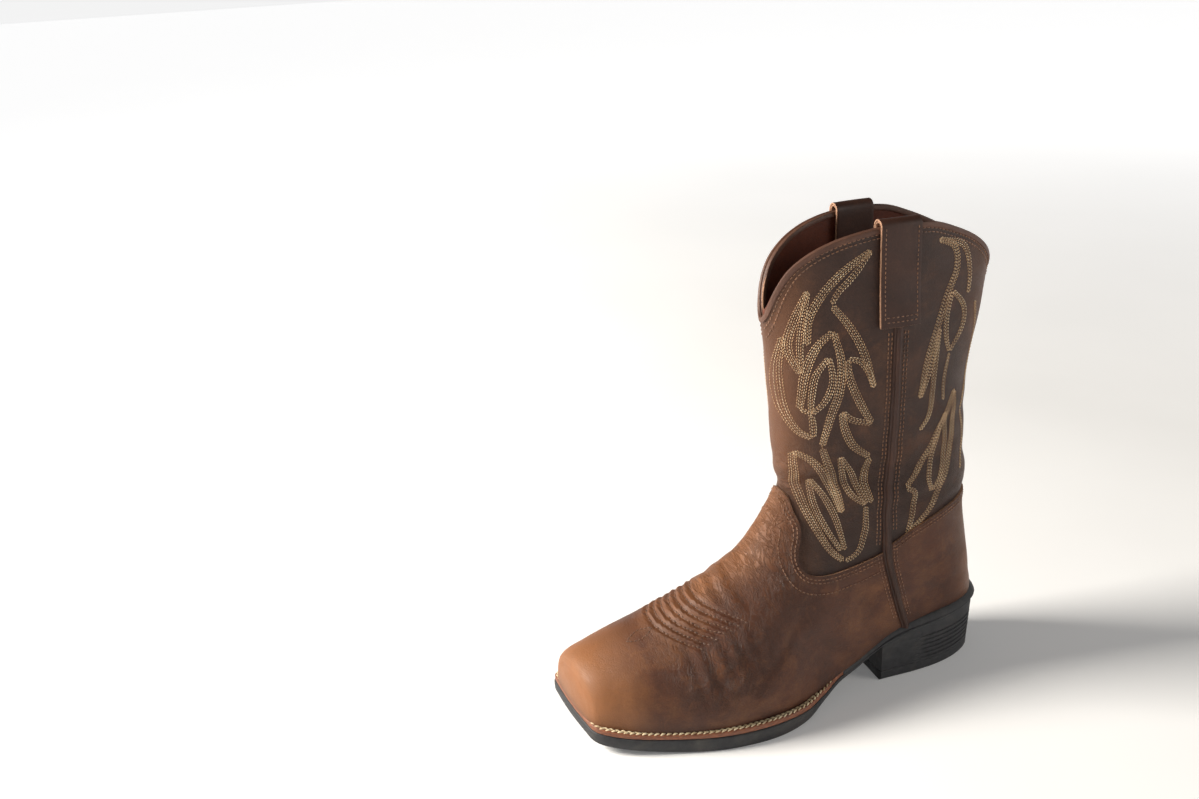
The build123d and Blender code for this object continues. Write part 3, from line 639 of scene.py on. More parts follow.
def bumps(pts):
    """Soft folds of worn leather: height in mm added along the surface normal."""
    x, y, z = pts.T
    h = np.zeros(len(pts))
    patch = row_patch(x, y, z)
    # flex creases across the vamp behind the toe joint: (y, depth, width, phase)
    for k, (cy, amp, wid, ph) in enumerate([(-74, 0.9, 3.2, 0.2), (-64, 1.1, 3.6, 1.0),
                                            (-53, 1.0, 3.4, 2.1), (-42, 0.9, 4.0, 3.0),
                                            (-30, 0.7, 4.2, 0.7)]):
        bend = cy + 0.004 * (x + 6)**2 * (1 if k % 2 else 0.6) + 2.2 * np.sin(x * 0.09 + ph)
        side = rise(z, 24, 26)
        h -= amp * hump(y - bend, wid) * side * (0.6 + 0.4 * np.sin(x * 0.05 + ph))
        h += 0.6 * amp * hump(y - bend - 5, wid * 1.3) * side
    # ridges between the ornamental rows on top of the vamp
    h *= 1 - 0.6 * patch
    h -= 0.95 * np.cos(2 * np.pi * (y - vamp_row_y(x)) / ROW_STEP) * patch
    # finer creases spreading from the flex line
    h -= (0.35 * np.sin((y + 0.35 * z) * 0.55 + np.sin(x * 0.13) * 1.5)
          * hump(y + 46, 24) * rise(z, 22, 14) * (1 - patch))
    # diagonal folds running down the sides of the vamp: (y, z, slope, depth, width)
    for y0, z0, slope, amp, wid in [(-40, 52, 0.55, 0.8, 4.0), (-22, 46, 0.7, 0.7, 4.5),
                                    (-6, 60, 0.9, 0.8, 5.0), (-58, 40, 0.4, 0.6, 4.0)]:
        h -= amp * hump((z - z0) - slope * (y - y0), wid) * hump(y - y0, 26)
    # ankle folds where the shaft meets the foot: (z, depth, width, phase, y)
    for zc, amp, wid, ph, y0 in [(150, 1.6, 5.5, 0.0, 40), (166, 1.1, 6.0, 1.3, 70),
                                 (134, 1.3, 6.0, 2.2, 100), (186, 0.8, 7.0, 0.5, 110),
                                 (206, 0.6, 8.0, 1.9, 50)]:
        bend = zc + 4.0 * np.sin(y * 0.045 + ph) + 2.0 * np.sin(x * 0.08)
        h -= amp * hump(z - bend, wid) * hump(y - y0, 48)
        h += 0.6 * amp * hump(z - bend - 9, wid * 1.2) * hump(y - y0, 48)
    # slow unevenness of the whole shaft
    h += 0.6 * np.sin(y * 0.06 + 1.0) * np.sin(z * 0.045 + 0.6) * rise(z, 120, 60)
    h += 0.35 * np.sin(y * 0.11 + z * 0.07) * rise(z, 100, 60)
    # nothing moves at the sole, and little at the top
    h *= rise(z, feather_z(y), 12) * np.clip((322 - z) / 60, 0.15, 1)
    # the back of the shaft breaks just above the counter
    h += 2.2 * hump(z - 139, 9) * rise(y, 112, 30)
    h -= 1.0 * hump(z - 158, 8) * rise(y, 112, 30)
    return h


below_vamp = side_curve_field(VAMP_LINE)
below_counter = side_curve_field(COUNTER_LINE)
below_top = side_curve_field(TOPLINE)


def rim_gap(pts):
    """Side-view distance below the vamp's top line or the counter's, positive inside them."""
    return np.where(seam_field(pts) > 0, below_vamp(pts), below_counter(pts))


LIFT = 1.25             # how far the foot pieces lie over the shaft
LAP = 9                 # how far the shaft leather goes on under them
FOOT_THICK = 1.9
SHAFT_THICK = 1.8
LINING_THICK = 1.0
LINING_DEPTH = 2.3      # the lining's face below the form
EDGE_BEVEL = 0.35


def foot_offset(pts):
    """The foot leather lies over the shaft."""
    return bumps(pts) + LIFT


def shaft_offset(pts):
    """The shaft sinks a little where it comes near the foot pieces."""
    return bumps(pts) - 0.5 * np.clip(1 + rim_gap(pts) / LAP, 0, 1)


def lining_offset(pts):
    """The lining follows the leather's folds, but softer."""
    return bumps(pts) * 0.6 - LINING_DEPTH


def above(fn, lift=0.0):
    """A field that is positive above a height given over y."""
    return lambda p: p[:, 2] - fn(p[:, 1]) - lift


def paint(ob, name, fn):
    """A per-vertex amount, 0..1, as a float attribute."""
    co = np.empty(len(ob.data.vertices) * 3, np.float32)
    ob.data.vertices.foreach_get("co", co)
    pts = co.reshape(-1, 3) / MM - SHIFT
    a = ob.data.attributes.new(name, "FLOAT", "POINT")
    a.data.foreach_set("value", np.clip(fn(pts), 0, 1).astype(np.float32))


def wear_and_highlight_foot(p):
    """Lighter leather at the toe, along the ridge and at the heel: rubbed wear, with painted highlight.
    """
    x, y, z = p.T
    toe = np.clip((-96 - y) / 34, 0, 1) * 0.75
    ridge = hump(x + 6, 20) * rise(z, 55, 40) * 0.5
    return toe + ridge + rise(y, 120, 30) * 0.3


def dirt_and_shade_foot(p):
    """Darker leather along the welt and the rims: painted shade where the parts meet, with some dirt."""
    low = np.exp(-np.clip(p[:, 2] - feather_z(p[:, 1]), 0, 99) / 5) * 0.7
    return low + np.exp(-np.abs(rim_gap(p)) / 3.0) * 0.4


def wear_and_highlight_shaft(p):
    """Lighter leather along the front fold and at the back: rubbed wear, with painted highlight."""
    y = p[:, 1]
    return hump(y - 4, 14) * 0.55 + rise(y, 118, 30) * 0.35


def dirt_and_shade_shaft(p):
    """Darker leather along the topline, the side seams and the foot pieces: painted shade where the
    parts meet, with some dirt.
    """
    top = np.exp(-np.abs(below_top(p)) / 3.0) * 0.5
    seam = np.exp(-np.abs(seam_field(p)) / 6) * 0.5
    return top + seam + np.exp(-np.abs(rim_gap(p)) / 5) * 0.6


def crease_zone(p):
    """Where the leather flexes: behind the toes, at the ankle and in the throat."""
    x, y, z = p.T
    flex = hump(y + 52, 30) * rise(z, 22, 16)
    ankle = hump(z - 152, 30) * 0.8
    throat = hump(y, 26) * hump(z - 112, 30)
    return (flex + ankle + throat) * (1 - 0.7 * row_patch(x, y, z))


def panel(name, skin, fields, thickness, material, nodes):
    """The part of a skin inside all the fields, as thick leather."""
    for field in fields:
        skin = clip(*skin, field)
    ob = make_mesh(name, *skin)
    thicken(ob, thickness, EDGE_BEVEL)
    return finish_piece(ob, material, nodes)


def behind_seam(p):
    """Positive behind the side seams."""
    return -seam_field(p)


def paint_wear_and_light(pieces, wear_and_highlight, dirt_and_shade):
    """Gives panels the amounts that the leather reads."""
    for ob in pieces:
        for name, amount in (("wear_and_highlight", wear_and_highlight), ("dirt_and_shade", dirt_and_shade), ("crease", crease_zone)):
            paint(ob, name, amount)


foot_skin = skin_mesh(foot_offset)
shaft_skin = skin_mesh(shaft_offset)
lining_skin = skin_mesh(lining_offset)

vamp = panel("vamp_leather", foot_skin, [above(feather_z), below_vamp, seam_field],
             FOOT_THICK, FOOT, ["vamp"])
counter = panel("counter_leather", foot_skin, [above(feather_z), below_counter, behind_seam],
                FOOT_THICK, FOOT, ["counter_cover"])
paint_wear_and_light((vamp, counter), wear_and_highlight_foot, dirt_and_shade_foot)
front = panel("front_shaft_leather", shaft_skin,
              [below_top, lambda p: LAP - below_vamp(p), seam_field],
              SHAFT_THICK, SHAFT, ["front_shaft"])
back = panel("back_shaft_leather", shaft_skin,
             [below_top, lambda p: LAP - below_counter(p), behind_seam],
             SHAFT_THICK, SHAFT, ["back_shaft"])
paint_wear_and_light((front, back), wear_and_highlight_shaft, dirt_and_shade_shaft)
panel("lining", lining_skin, [above(feather_z, 1.0), lambda p: below_top(p) - 0.5],
      LINING_THICK, LINING,
      ["vamp_lining", "counter_lining", "front_shaft_lining", "back_shaft_lining"])

# ---------------------------------------------------------------- stitches
tree_foot, tree_shaft = [BVHTree.FromPolygons(p.tolist(), t.tolist())
                         for p, t in (foot_skin, shaft_skin)]
SEAM_LIFT = 0.2         # how far a seam's stitches stand off the leather
SEAM_PITCH = 2.9
OUTSIDE_X = 120.0       # rays start out here, or up there
OUTSIDE_Z = 200.0
OTHER_WALL = -14        # a hit farther than this past the middle is on the other wall


def on_side(tree, y, z, side, lift=0.0):
    """The outside of the upper at side-view place (y, z); side is +1 lateral, -1 medial."""
    place, n = tree.ray_cast(Vector((side * OUTSIDE_X, y, z)), Vector((-side, 0, 0)))[:2]
    if place is None or place.x * side < OTHER_WALL:
        return None
    n = np.array(n if n.x * side > 0 else -n)
    return np.array(place) + n * lift, n


def sew_over(stitches, xs, ys, pitch):
    """Stitches on top of the foot along a plan line."""
    points, normals = [], []
    for x, y in zip(xs, ys):
        place, n = tree_foot.ray_cast(Vector((x, y, OUTSIDE_Z)), Vector((0, 0, -1)))[:2]
        if place is not None:
            n = np.array(n if n.z > 0 else -n)
            points.append(np.array(place) + n * SEAM_LIFT)
            normals.append(n)
    stitches.row(points, normals, pitch)


STITCH_SIDES = 6
STITCH_RINGS = ((-0.40, 0.62), (-0.12, 1.0), (0.12, 1.0), (0.40, 0.62))      # (place, size)


def stitch_template(length, width, height):
    """One laid stitch: a small bead tapering into the leather at both ends."""
    def middle_z(f):
        return -0.55 * height * (abs(f) * 2)**3

    turns = [k * 2 * math.pi / STITCH_SIDES for k in range(STITCH_SIDES)]
    verts = [(f * length, width / 2 * r * math.cos(a), middle_z(f) + height / 2 * r * math.sin(a))
             for f, r in STITCH_RINGS for a in turns]
    ends = len(verts)
    verts += [(f * length, 0, middle_z(f)) for f in (-0.5, 0.5)]
    j = np.arange(STITCH_SIDES)
    k = (j + 1) % STITCH_SIDES
    last = ends - STITCH_SIDES
    return np.array(verts, float), np.concatenate([
        split(strip_quads(len(STITCH_RINGS), STITCH_SIDES)),
        np.stack([np.full_like(j, ends), k, j], 1),
        np.stack([j + last, k + last, np.full_like(j, ends + 1)], 1)])


HAND_SPREAD = 0.05      # how unevenly the stitches turn, in radians


class Stitches:
    """Gathers many stitches and makes one object of them."""

    def __init__(self, length, width, height):
        self.v, self.f = stitch_template(length, width, height)
        self.at = []

    def add(self, centre, along, normal):
        """One stitch, laid flat on the surface."""
        along = along - normal * (along @ normal)
        along = along / np.linalg.norm(along)
        self.at.append((centre, along, np.cross(normal, along), normal))

    def row(self, points, normals, pitch, skew=0.0):
        """Stitches along a polyline of surface points at an even pitch."""
        p, n = np.array(points), np.array(normals)
        s = lengths(p)
        count = max(int(s[-1] / pitch), 1)
        mids = (np.arange(count) + 0.5) * s[-1] / count
        for m in mids:
            i = max(min(np.searchsorted(s, m), len(p) - 1), 1)
            t = (m - s[i - 1]) / max(s[i] - s[i - 1], 1e-9)
            c = p[i - 1] + (p[i] - p[i - 1]) * t
            nn = n[i - 1] + (n[i] - n[i - 1]) * t
            nn = nn / np.linalg.norm(nn)
            d = p[i] - p[i - 1]
            d = d / max(np.linalg.norm(d), 1e-9)
            turn = skew + RNG.normal(0, HAND_SPREAD)
            d = d * math.cos(turn) + np.cross(nn, d) * math.sin(turn)
            self.add(c, d, nn)

    def build(self, name, material, nodes=()):
        """Makes the object: the template once for each stitch, in the stitch's own frame."""
        at = np.array(self.at)
        v = at[:, None, 0]
        for k in range(3):
            v = v + self.v[None, :, k:k + 1] * at[:, None, k + 1]
        f = self.f[None] + (np.arange(len(at)) * len(self.v))[:, None, None]
        ob = make_mesh(name, v.reshape(-1, 3), f.reshape(-1, 3), angle=0)
        return finish_piece(ob, material, nodes)


def follow(tree, line, side, lift):
    """Drops a side-view line on the upper. Returns runs of surface points and normals."""
    q = np.array(line, float)
    end = lengths(q)[-1]
    y, z = resample(q, np.linspace(0, end, max(int(end), 2))).T
    runs = [[]]
    for a, b in zip(y, z):
        hit = on_side(tree, a, b, side, lift)
        if hit is None:
            runs.append([])
        else:
            runs[-1].append(hit)
    return [tuple(zip(*run)) for run in runs if len(run) > 2]


def sew(stitches, tree, line, side, lift=SEAM_LIFT, pitch=SEAM_PITCH, skew=0.0):
    """Stitches along a side-view line wherever it meets the surface."""
    for points, normals in follow(tree, line, side, lift):
        stitches.row(points, normals, pitch, skew)


def left_of(q):
    """Unit vectors to the left of a line's direction."""
    d = np.gradient(q, axis=0)
    d /= np.maximum(np.linalg.norm(d, axis=1, keepdims=True), 1e-9)
    return np.stack([-d[:, 1], d[:, 0]], 1)


# ---- embroidery: western flames and leaves, each a band of parallel rows
ROW_GAP = 1.14
POINT = 0.6             # how much earlier than the middle a row ends, for each mm that it is out
FLAME_N = 160
FINE_STITCH = (1.65, 0.55, 0.5)
FINE_PITCH = 2.0
FINE_LIFT = 0.16
SLANT = 0.3             # each row's stitches lean against the next one's


def flame(points, rows):
    """Parallel rows along a spine. They close up a little and end in a point."""
    q = smooth_line(points, FLAME_N)
    f = np.linspace(0, 1, FLAME_N)
    spread = np.clip(0.72 + 0.8 * np.minimum(f, 1 - f), 0, 1)
    walked = lengths(q)
    n = left_of(q)
    lines = []
    for k in range(rows):
        off = (k - (rows - 1) / 2) * ROW_GAP
        short = abs(off) * POINT
        keep = (walked >= short) & (walked <= walked[-1] - short)
        lines.append((q + n * (off * spread)[:, None])[keep])
    return lines


def side_place(u, v, panel_name, side):
    """Pattern places: u 0..1 across a panel from its fold to its seam, v in mm up the shaft."""
    seam = seam_on(side)(v)
    if panel_name == "front":
        lo = np.interp(v, [90, 150, 210, 260, 320], [12, 6, 2, -3, -6])
        return lo + (u - 0.06 * math.sin(math.pi * u)) * (seam - 6 - lo)
    hi = np.interp(v, [120, 160, 200, 240, 290], [141, 140, 139, 146, 152])
    return hi - u * (hi - seam - 6)


# spines as (u, v): u from the fold (0) to the side seam (1), v in mm up the shaft
FRONT_FLAMES = [
    # top flame, its two tips, and the tongues that step down beside the seam
    ([(0.86, 306), (0.66, 295), (0.48, 281), (0.36, 266), (0.33, 249)], 5),
    ([(0.86, 306), (0.72, 291), (0.60, 281), (0.55, 274)], 4),
    ([(0.55, 274), (0.67, 262), (0.78, 246), (0.88, 220)], 5),
    ([(0.66, 240), (0.76, 238), (0.83, 231), (0.88, 220)], 4),
    ([(0.66, 240), (0.67, 229), (0.75, 213), (0.88, 196)], 5),
    ([(0.61, 206), (0.70, 200), (0.79, 198), (0.88, 196)], 4),
    ([(0.61, 206), (0.64, 194), (0.72, 182), (0.88, 173)], 5),
    # flames at the fold
    ([(0.36, 284), (0.31, 268), (0.27, 250), (0.26, 230)], 4),
    ([(0.36, 284), (0.23, 265), (0.16, 247), (0.26, 230)], 5),
    ([(0.13, 255), (0.06, 236), (0.05, 218), (0.09, 203), (0.20, 192), (0.34, 188)], 5),
    # upper leaf, its heart and stem
    ([(0.56, 258), (0.42, 249), (0.30, 232), (0.22, 207)], 5),
    ([(0.56, 258), (0.61, 237), (0.58, 218), (0.50, 200), (0.42, 182)], 5),
    ([(0.22, 207), (0.28, 206), (0.34, 203)], 3),
    ([(0.51, 242), (0.39, 230), (0.34, 216), (0.33, 204)], 4),
    ([(0.51, 242), (0.53, 226), (0.45, 212), (0.33, 204)], 4),
    ([(0.33, 204), (0.34, 196), (0.34, 188)], 4),
    # lower leaf
    ([(0.42, 182), (0.48, 170), (0.56, 153), (0.64, 133)], 5),
    ([(0.13, 178), (0.32, 172), (0.48, 158), (0.64, 133)], 5),
    ([(0.13, 178), (0.15, 160), (0.23, 141), (0.35, 122), (0.48, 107), (0.62, 99)], 5),
    ([(0.30, 159), (0.45, 146), (0.58, 128), (0.65, 106)], 4),
    ([(0.30, 159), (0.34, 142), (0.45, 124), (0.60, 106)], 4),
    # small leaf and tongue at the foot of the seam
    ([(0.60, 175), (0.71, 163), (0.78, 152), (0.87, 138)], 4),
    ([(0.60, 175), (0.63, 161), (0.72, 147), (0.87, 138)], 4),
    ([(0.88, 173), (0.84, 159), (0.92, 139)], 5),
    ([(0.87, 138), (0.87, 120), (0.81, 106), (0.72, 101), (0.62, 99)], 4),
]
BACK_FLAMES = [
    ([(0.70, 307), (0.53, 301), (0.49, 288), (0.57, 272), (0.66, 252), (0.76, 231), (0.81, 207)], 5),
    ([(0.70, 307), (0.42, 300), (0.33, 284), (0.32, 268)], 4),
    ([(0.63, 251), (0.69, 232), (0.81, 207)], 4),
    ([(0.63, 251), (0.66, 222), (0.68, 196), (0.79, 185)], 4),
    ([(0.52, 273), (0.36, 261), (0.34, 248), (0.48, 233)], 4),
    ([(0.52, 273), (0.56, 257), (0.54, 243), (0.48, 233)], 4),
    ([(0.48, 233), (0.52, 216), (0.50, 202)], 3),
    ([(0.34, 207), (0.54, 182), (0.74, 163), (0.90, 146)], 5),
    ([(0.34, 207), (0.34, 182), (0.40, 153), (0.57, 130), (0.87, 112)], 5),
    ([(0.90, 146), (0.80, 142), (0.82, 125), (0.87, 112)], 4),
    ([(0.46, 194), (0.60, 170), (0.64, 150), (0.58, 139)], 4),
    ([(0.46, 194), (0.45, 168), (0.49, 150), (0.58, 139)], 4),
    ([(0.20, 262), (0.12, 240), (0.12, 214), (0.20, 190)], 3),
    ([(0.20, 190), (0.13, 168), (0.16, 146)], 3),
]

gold = Stitches(*FINE_STITCH)
cream = Stitches(*FINE_STITCH)
for side in (1, -1):
    for panel_name, flames in (("front", FRONT_FLAMES), ("back", BACK_FLAMES)):
        for spine, rows in flames:
            pts = [(side_place(u, v, panel_name, side), v) for u, v in spine]
            for k, line in enumerate(flame(pts, rows)):
                sew(cream if k % 2 else gold, tree_shaft, line, side, FINE_LIFT, FINE_PITCH,
                    SLANT if k % 2 else -SLANT)
gold.build("embroidery_gold", GOLD)
cream.build("embroidery_cream", CREAM)

# ---- seams sewn in brown thread, at these distances from their edges
VAMP_GAPS = (-2.2, -4.4, -11.5)
COUNTER_GAPS = (-2.2, -4.4)
PIPING_GAPS = (-6.6, -4.4, 4.4, 6.6)
TOPLINE_GAPS = (-3.0, -5.4)
SEAM_CLEAR = 4          # the foot's seams stop this far from the side seam
seams = Stitches(2.2, 0.75, 0.6)
vamp_curve = smooth_line(VAMP_LINE, 300)
counter_curve = smooth_line(COUNTER_LINE, 160)
top_curve = smooth_line(TOPLINE, 300)
for side in (1, -1):
    seam_y = seam_on(side)
    for gap in VAMP_GAPS:
        line = vamp_curve + left_of(vamp_curve) * gap
        sew(seams, tree_foot, line[line[:, 0] < seam_y(line[:, 1]) - SEAM_CLEAR], side)
    for gap in COUNTER_GAPS:
        line = counter_curve + left_of(counter_curve) * gap
        sew(seams, tree_foot, line[line[:, 0] > seam_y(line[:, 1]) + SEAM_CLEAR], side)
    zz = np.linspace(50, 254, 200)
    for gap in PIPING_GAPS:
        line = np.stack([seam_y(zz) + gap, zz], 1)
        sew(seams, tree_foot, line[zz < (100 if gap < 0 else 108)], side)
        sew(seams, tree_shaft, line[zz > (106 if gap < 0 else 116)], side)
    for gap in TOPLINE_GAPS:
        sew(seams, tree_shaft, top_curve + left_of(top_curve) * gap, side)
seams.build("seam_stitching", BROWN)

# ---- ornamental rows across the vamp, and the small leaf in front of them
LEAF_AT = (6, -95)
LEAF_HALF = (4.2, 8.5)
vamp_rows = Stitches(2.3, 0.8, 0.7)
xs = np.linspace(-37, 35, 90)
for k in range(VAMP_ROWS):
    sew_over(vamp_rows, xs, vamp_row_y(xs) + k * ROW_STEP, SEAM_PITCH)
turns = np.linspace(0, 2 * math.pi, 60)
c, w = np.cos(turns), np.sin(turns)
sew_over(vamp_rows, LEAF_AT[0] + LEAF_HALF[0] * np.sign(c) * np.abs(c)**1.6,
         LEAF_AT[1] + LEAF_HALF[1] * np.sign(w) * np.abs(w)**1.3, 2.6)
vamp_rows.build("vamp_row_stitching", TAN)

# ---------------------------------------------------------------- sole, welt and heel
EDGE_N = 420
TOE_CORNER_R = 8.0
TOE_BOW = 1.2           # how far the toe's edge bows forwards


def unit(v):
    return v / np.linalg.norm(v)


def rounded_outline():
    """The sole edge, anticlockwise, with its two toe corners rounded."""
    side = smooth_line(LATERAL_EDGE + HEEL_BACK + MEDIAL_EDGE[::-1], 700)
    start, end = side[0], side[-1]
    r = TOE_CORNER_R

    def corner(p, into, out):
        t = np.linspace(0, 1, 8)[:, None]
        return (1 - t)**2 * (p - into * r) + 2 * (1 - t) * t * p + t**2 * (p + out * r)

    front_way = unit(start - end)
    c1 = corner(start, front_way, unit(side[12] - start))
    c2 = corner(end, unit(end - side[-13]), front_way)
    keep = (np.linalg.norm(side - start, axis=1) > r) & (np.linalg.norm(side - end, axis=1) > r)
    t = np.linspace(0, 1, 30)[1:-1, None]
    front_run = c2[-1] + (c1[0] - c2[-1]) * t
    front_run = front_run + np.array([0.10, -0.99]) * (TOE_BOW * np.sin(np.pi * t))
    return closed_line(np.vstack([c1, side[keep], c2, front_run]), EDGE_N)


def outline_normals(q):
    """Outward unit vectors of a closed anticlockwise outline."""
    d = np.roll(q, -1, 0) - np.roll(q, 1, 0)
    n = np.stack([d[:, 1], -d[:, 0]], 1)
    return n / np.linalg.norm(n, axis=1, keepdims=True)


OUTLINE = rounded_outline()
OUT_N = outline_normals(OUTLINE)


def edge_loops(profile):
    """Loops of points along the outline, one for each (outset, z) that profile(y) gives."""
    return [np.column_stack([OUTLINE + OUT_N * outset[:, None], z])
            for outset, z in profile(OUTLINE[:, 1])]


FILL_LOOPS = 7
BAND_DEPTH = 12.0       # how far the welt and the rand go in under the upper
WELT_END_Y = 46.0
RAND_START_Y = 38.0


def shrunk(loop):
    """Ever smaller loops that fill a face, each as high as the edge beside it."""
    order = np.argsort(loop[:, 1])
    middle = np.column_stack([np.interp(loop[:, 1], [-145, -60, 30, 150], [-5, 5, 3, 0]),
                              np.clip(loop[:, 1], -118, 122)])
    out = []
    for k in range(1, FILL_LOOPS):
        p = middle + (loop[:, :2] - middle) * (1 - k / FILL_LOOPS)
        out.append(np.column_stack([p, np.interp(p[:, 1], loop[order, 1], loop[order, 2])]))
    return out


def edge_band(name, profile, kept, angle, material, node):
    """A band along the sole's edge, where kept(points) is positive."""
    loops = edge_loops(profile)
    inside = OUTLINE - OUT_N * BAND_DEPTH
    loops = [np.column_stack([inside, loops[0][:, 2]])] + loops + [
        np.column_stack([inside, loops[-1][:, 2]])]
    quads = strip_quads(len(loops) + 1, EDGE_N) % (len(loops) * EDGE_N)
    ob = make_mesh(name, *clip(np.vstack(loops), split(quads), kept), angle)
    finish_piece(ob, material, [node])


def outsole_profile(y):
    """The rubber's edge from its underside up."""
    low, high = underside_z(y), rubber_z(y)
    t = high - low
    grow = rise(y, 60, 30) * 1.2        # the edge stands out more at the heel
    return [(-1.8 + 0 * y, low), (-0.5 + 0 * y, low + 0.25), (0 * y, low + np.minimum(1.2, t * 0.3)),
            (0.2 + grow * 0.5, low + t * 0.55), (0.15 + grow, high - np.minimum(1.0, t * 0.25)),
            (-0.25 + grow, high - 0.3), (-0.9 + 0 * y, high)]


loops = edge_loops(outsole_profile)
loops = shrunk(loops[0])[::-1] + loops + shrunk(loops[-1])
ob = make_mesh("outsole_rubber", np.vstack(loops), tube_faces(len(loops), EDGE_N), 50)
finish_piece(ob, RUBBER, ["outsole"])


def welt_profile(y):
    """The welt's edge, a little inside the rubber's."""
    low, high = rubber_z(y), feather_z(y)
    o = -0.6 + 0 * y
    return [(o - 0.5, low), (o, low + 0.4), (o + 0.1, (low + high) / 2), (o, high - 0.45),
            (o - 0.5, high)]


def rand_profile(y):
    """The rand stands out more towards the back, and slopes in at the top."""
    low, high = rubber_z(y) - 0.3, feather_z(y)
    back_share = rise(y, 70, 60)
    return [(-0.5 + 1.4 * back_share, low), (0.1 + 1.4 * back_share, low + 0.5),
            (0.0 + 0.9 * back_share, low + (high - low) * 0.4),
            (-0.7 - 0.6 * back_share, high - 0.5), (-1.3 - 1.2 * back_share, high + 0.5),
            (-2.6 - 1.4 * back_share, high + 0.7)]


edge_band("welt_strip", welt_profile, lambda p: -(p[:, 1] - WELT_END_Y), 45, WELT,
          "welt")
edge_band("heel_rand_rubber", rand_profile, lambda p: p[:, 1] - RAND_START_Y, 50, RUBBER,
          "heel_rand")

# ---- heel: stacked lifts with moulded grooves, breast cut slightly slantwise
GROOVE = -0.7           # how far a groove goes in
HEEL_FROM_Y = 60
HEEL_MID_Y = 108.0
HEEL_HEIGHT = 45
HEEL_TAPER = ((0.90, 0.10), (0.955, 0.045))     # size at the ground and what the top adds
BREAST_LATERAL_Y = 71.0
BREAST_MEDIAL_Y = 66.0
BREAST_HALF = 60        # half the width over which the breast slants
BREAST_BOW = 1.6
BREAST_CORNER = 2.0


def breast_y(x):
    """Plan line of the heel's front face."""
    return BREAST_MEDIAL_Y + (BREAST_LATERAL_Y - BREAST_MEDIAL_Y) * (x + BREAST_HALF) / (2 * BREAST_HALF)


def heel_loop(share):
    """The heel's plan outline, evenly spaced; share is 0 at the ground and 1 at the sole."""
    body = OUTLINE[OUTLINE[:, 1] > HEEL_FROM_Y]
    body = body[np.argsort(np.unwrap(np.arctan2(body[:, 1] - HEEL_FROM_Y, body[:, 0])))]
    sx, sy = [at_ground + added * share for at_ground, added in HEEL_TAPER]
    q = np.column_stack([body[:, 0] * sx, HEEL_MID_Y + (body[:, 1] - HEEL_MID_Y) * sy])
    q = q[q[:, 1] > breast_y(q[:, 0])]
    t = np.linspace(0, 1, 24)[1:-1, None]
    start, end = [np.array([p[0] + shift, breast_y(p[0])])
                  for p, shift in ((q[-1], BREAST_CORNER), (q[0], -BREAST_CORNER))]
    across = start + (end - start) * t
    across[:, 1] += BREAST_BOW * np.sin(np.pi * t[:, 0])
    return closed_line(np.vstack([q, across]), 200)


def heel_solid(name, levels, node):
    """A stack of loops; each level is (share, z or z(y), how far it is pushed out)."""
    loops = []
    for share, z, push in levels:
        q = heel_loop(share)
        back = rise(q[:, 1], 92, 14)[:, None] if push == GROOVE else 1.0
        q = q + outline_normals(q) * push * back
        height = z(q[:, 1]) if callable(z) else np.full(len(q), float(z))
        loops.append(np.column_stack([q, height]))
    ob = make_mesh(name, np.vstack(loops), tube_faces(len(loops), len(loops[0])), 40)
    finish_piece(ob, RUBBER, [node])


heel_solid("heel_top_lift", [(0.0, 0.0, -1.0), (0.0, 0.5, -0.2), (0.05, 1.4, 0), (0.14, 6.3, 0),
                             (0.15, 6.9, -0.35)], "heel_cap")
GROOVES = 6
FIRST_GROOVE_Z = 10.5
GROOVE_STEP = 3.6
FOLLOWS_ABOVE = 20      # lifts higher than this stop under the sole's curve
levels = [(0.15, 7.1, -0.35), (0.16, 7.6, 0.0)]
for k in range(GROOVES):
    z0 = FIRST_GROOVE_Z + k * GROOVE_STEP
    for up, push in ((-0.8, 0.0), (-0.4, GROOVE), (0.4, GROOVE), (0.8, 0.0)):
        levels.append((z0 / HEEL_HEIGHT, z0 + up, push))
levels = [(s, (lambda y, z=z: np.minimum(z, underside_z(y) + 0.3)) if z > FOLLOWS_ABOVE else z, p)
          for s, z, p in levels]
levels.append((0.85, lambda y: underside_z(y) + 0.4, 0.1))
heel_solid("heel_stack", levels, "heel_block")

# ---- rope of welt stitching, two rows laid like a twist: (inset, lean)
ROPE_END_Y = 40
ROPE_PITCH = 3.9
ROPE_RISE = 0.45        # above the welt's top
rope = Stitches(4.6, 1.5, 1.3)
for inset, skew in ((2.1, 0.42), (3.5, -0.42)):
    q = OUTLINE - OUT_N * inset
    keep = q[:, 1] < ROPE_END_Y
    start = int(np.argmax(~keep))
    q = np.roll(q, -start, 0)[np.roll(keep, -start)]
    line = np.column_stack([q, feather_z(q[:, 1]) + ROPE_RISE])
    rope.row(line, np.tile((0.0, 0.0, 1.0), (len(line), 1)), ROPE_PITCH, skew)
rope.build("welt_rope_stitching", ROPE, ["welt_stitching"])

# ---------------------------------------------------------------- pull straps and piping
def grid_object(name, grid, thickness, material, nodes=(), bevel=0.0):
    """An open grid of points made into a thick strip."""
    r, c = grid.shape[:2]
    ob = make_mesh(name, grid.reshape(-1, 3), strip_quads(r, c, closed=False))
    thicken(ob, thickness, bevel)
    return finish_piece(ob, material, nodes)


TOP_Z = 318.7
TOP_HIT_Z = 317.5       # the leather is measured no higher than this
STRAP_FACE = 2.25       # outside of the strap, off the leather
STRAP_BACK = 1.05
STRAP_LOW_Z = 257.4     # lower end outside
STRAP_IN_Z = 270        # lower end inside
STRAP_MID_Y = np.mean(STRAP_Y)
STRAP_HALF_W = 13.5
STRAP_CROWN = 0.25      # how far its middle stands out
STRAP_THICK = 1.15
BACK_THICK = 1.0
BACK_WIDTH = 0.985      # of the strap's width
STRAP_MARGIN = 2.6
WALL = 3.4              # leather and lining that the strap folds over


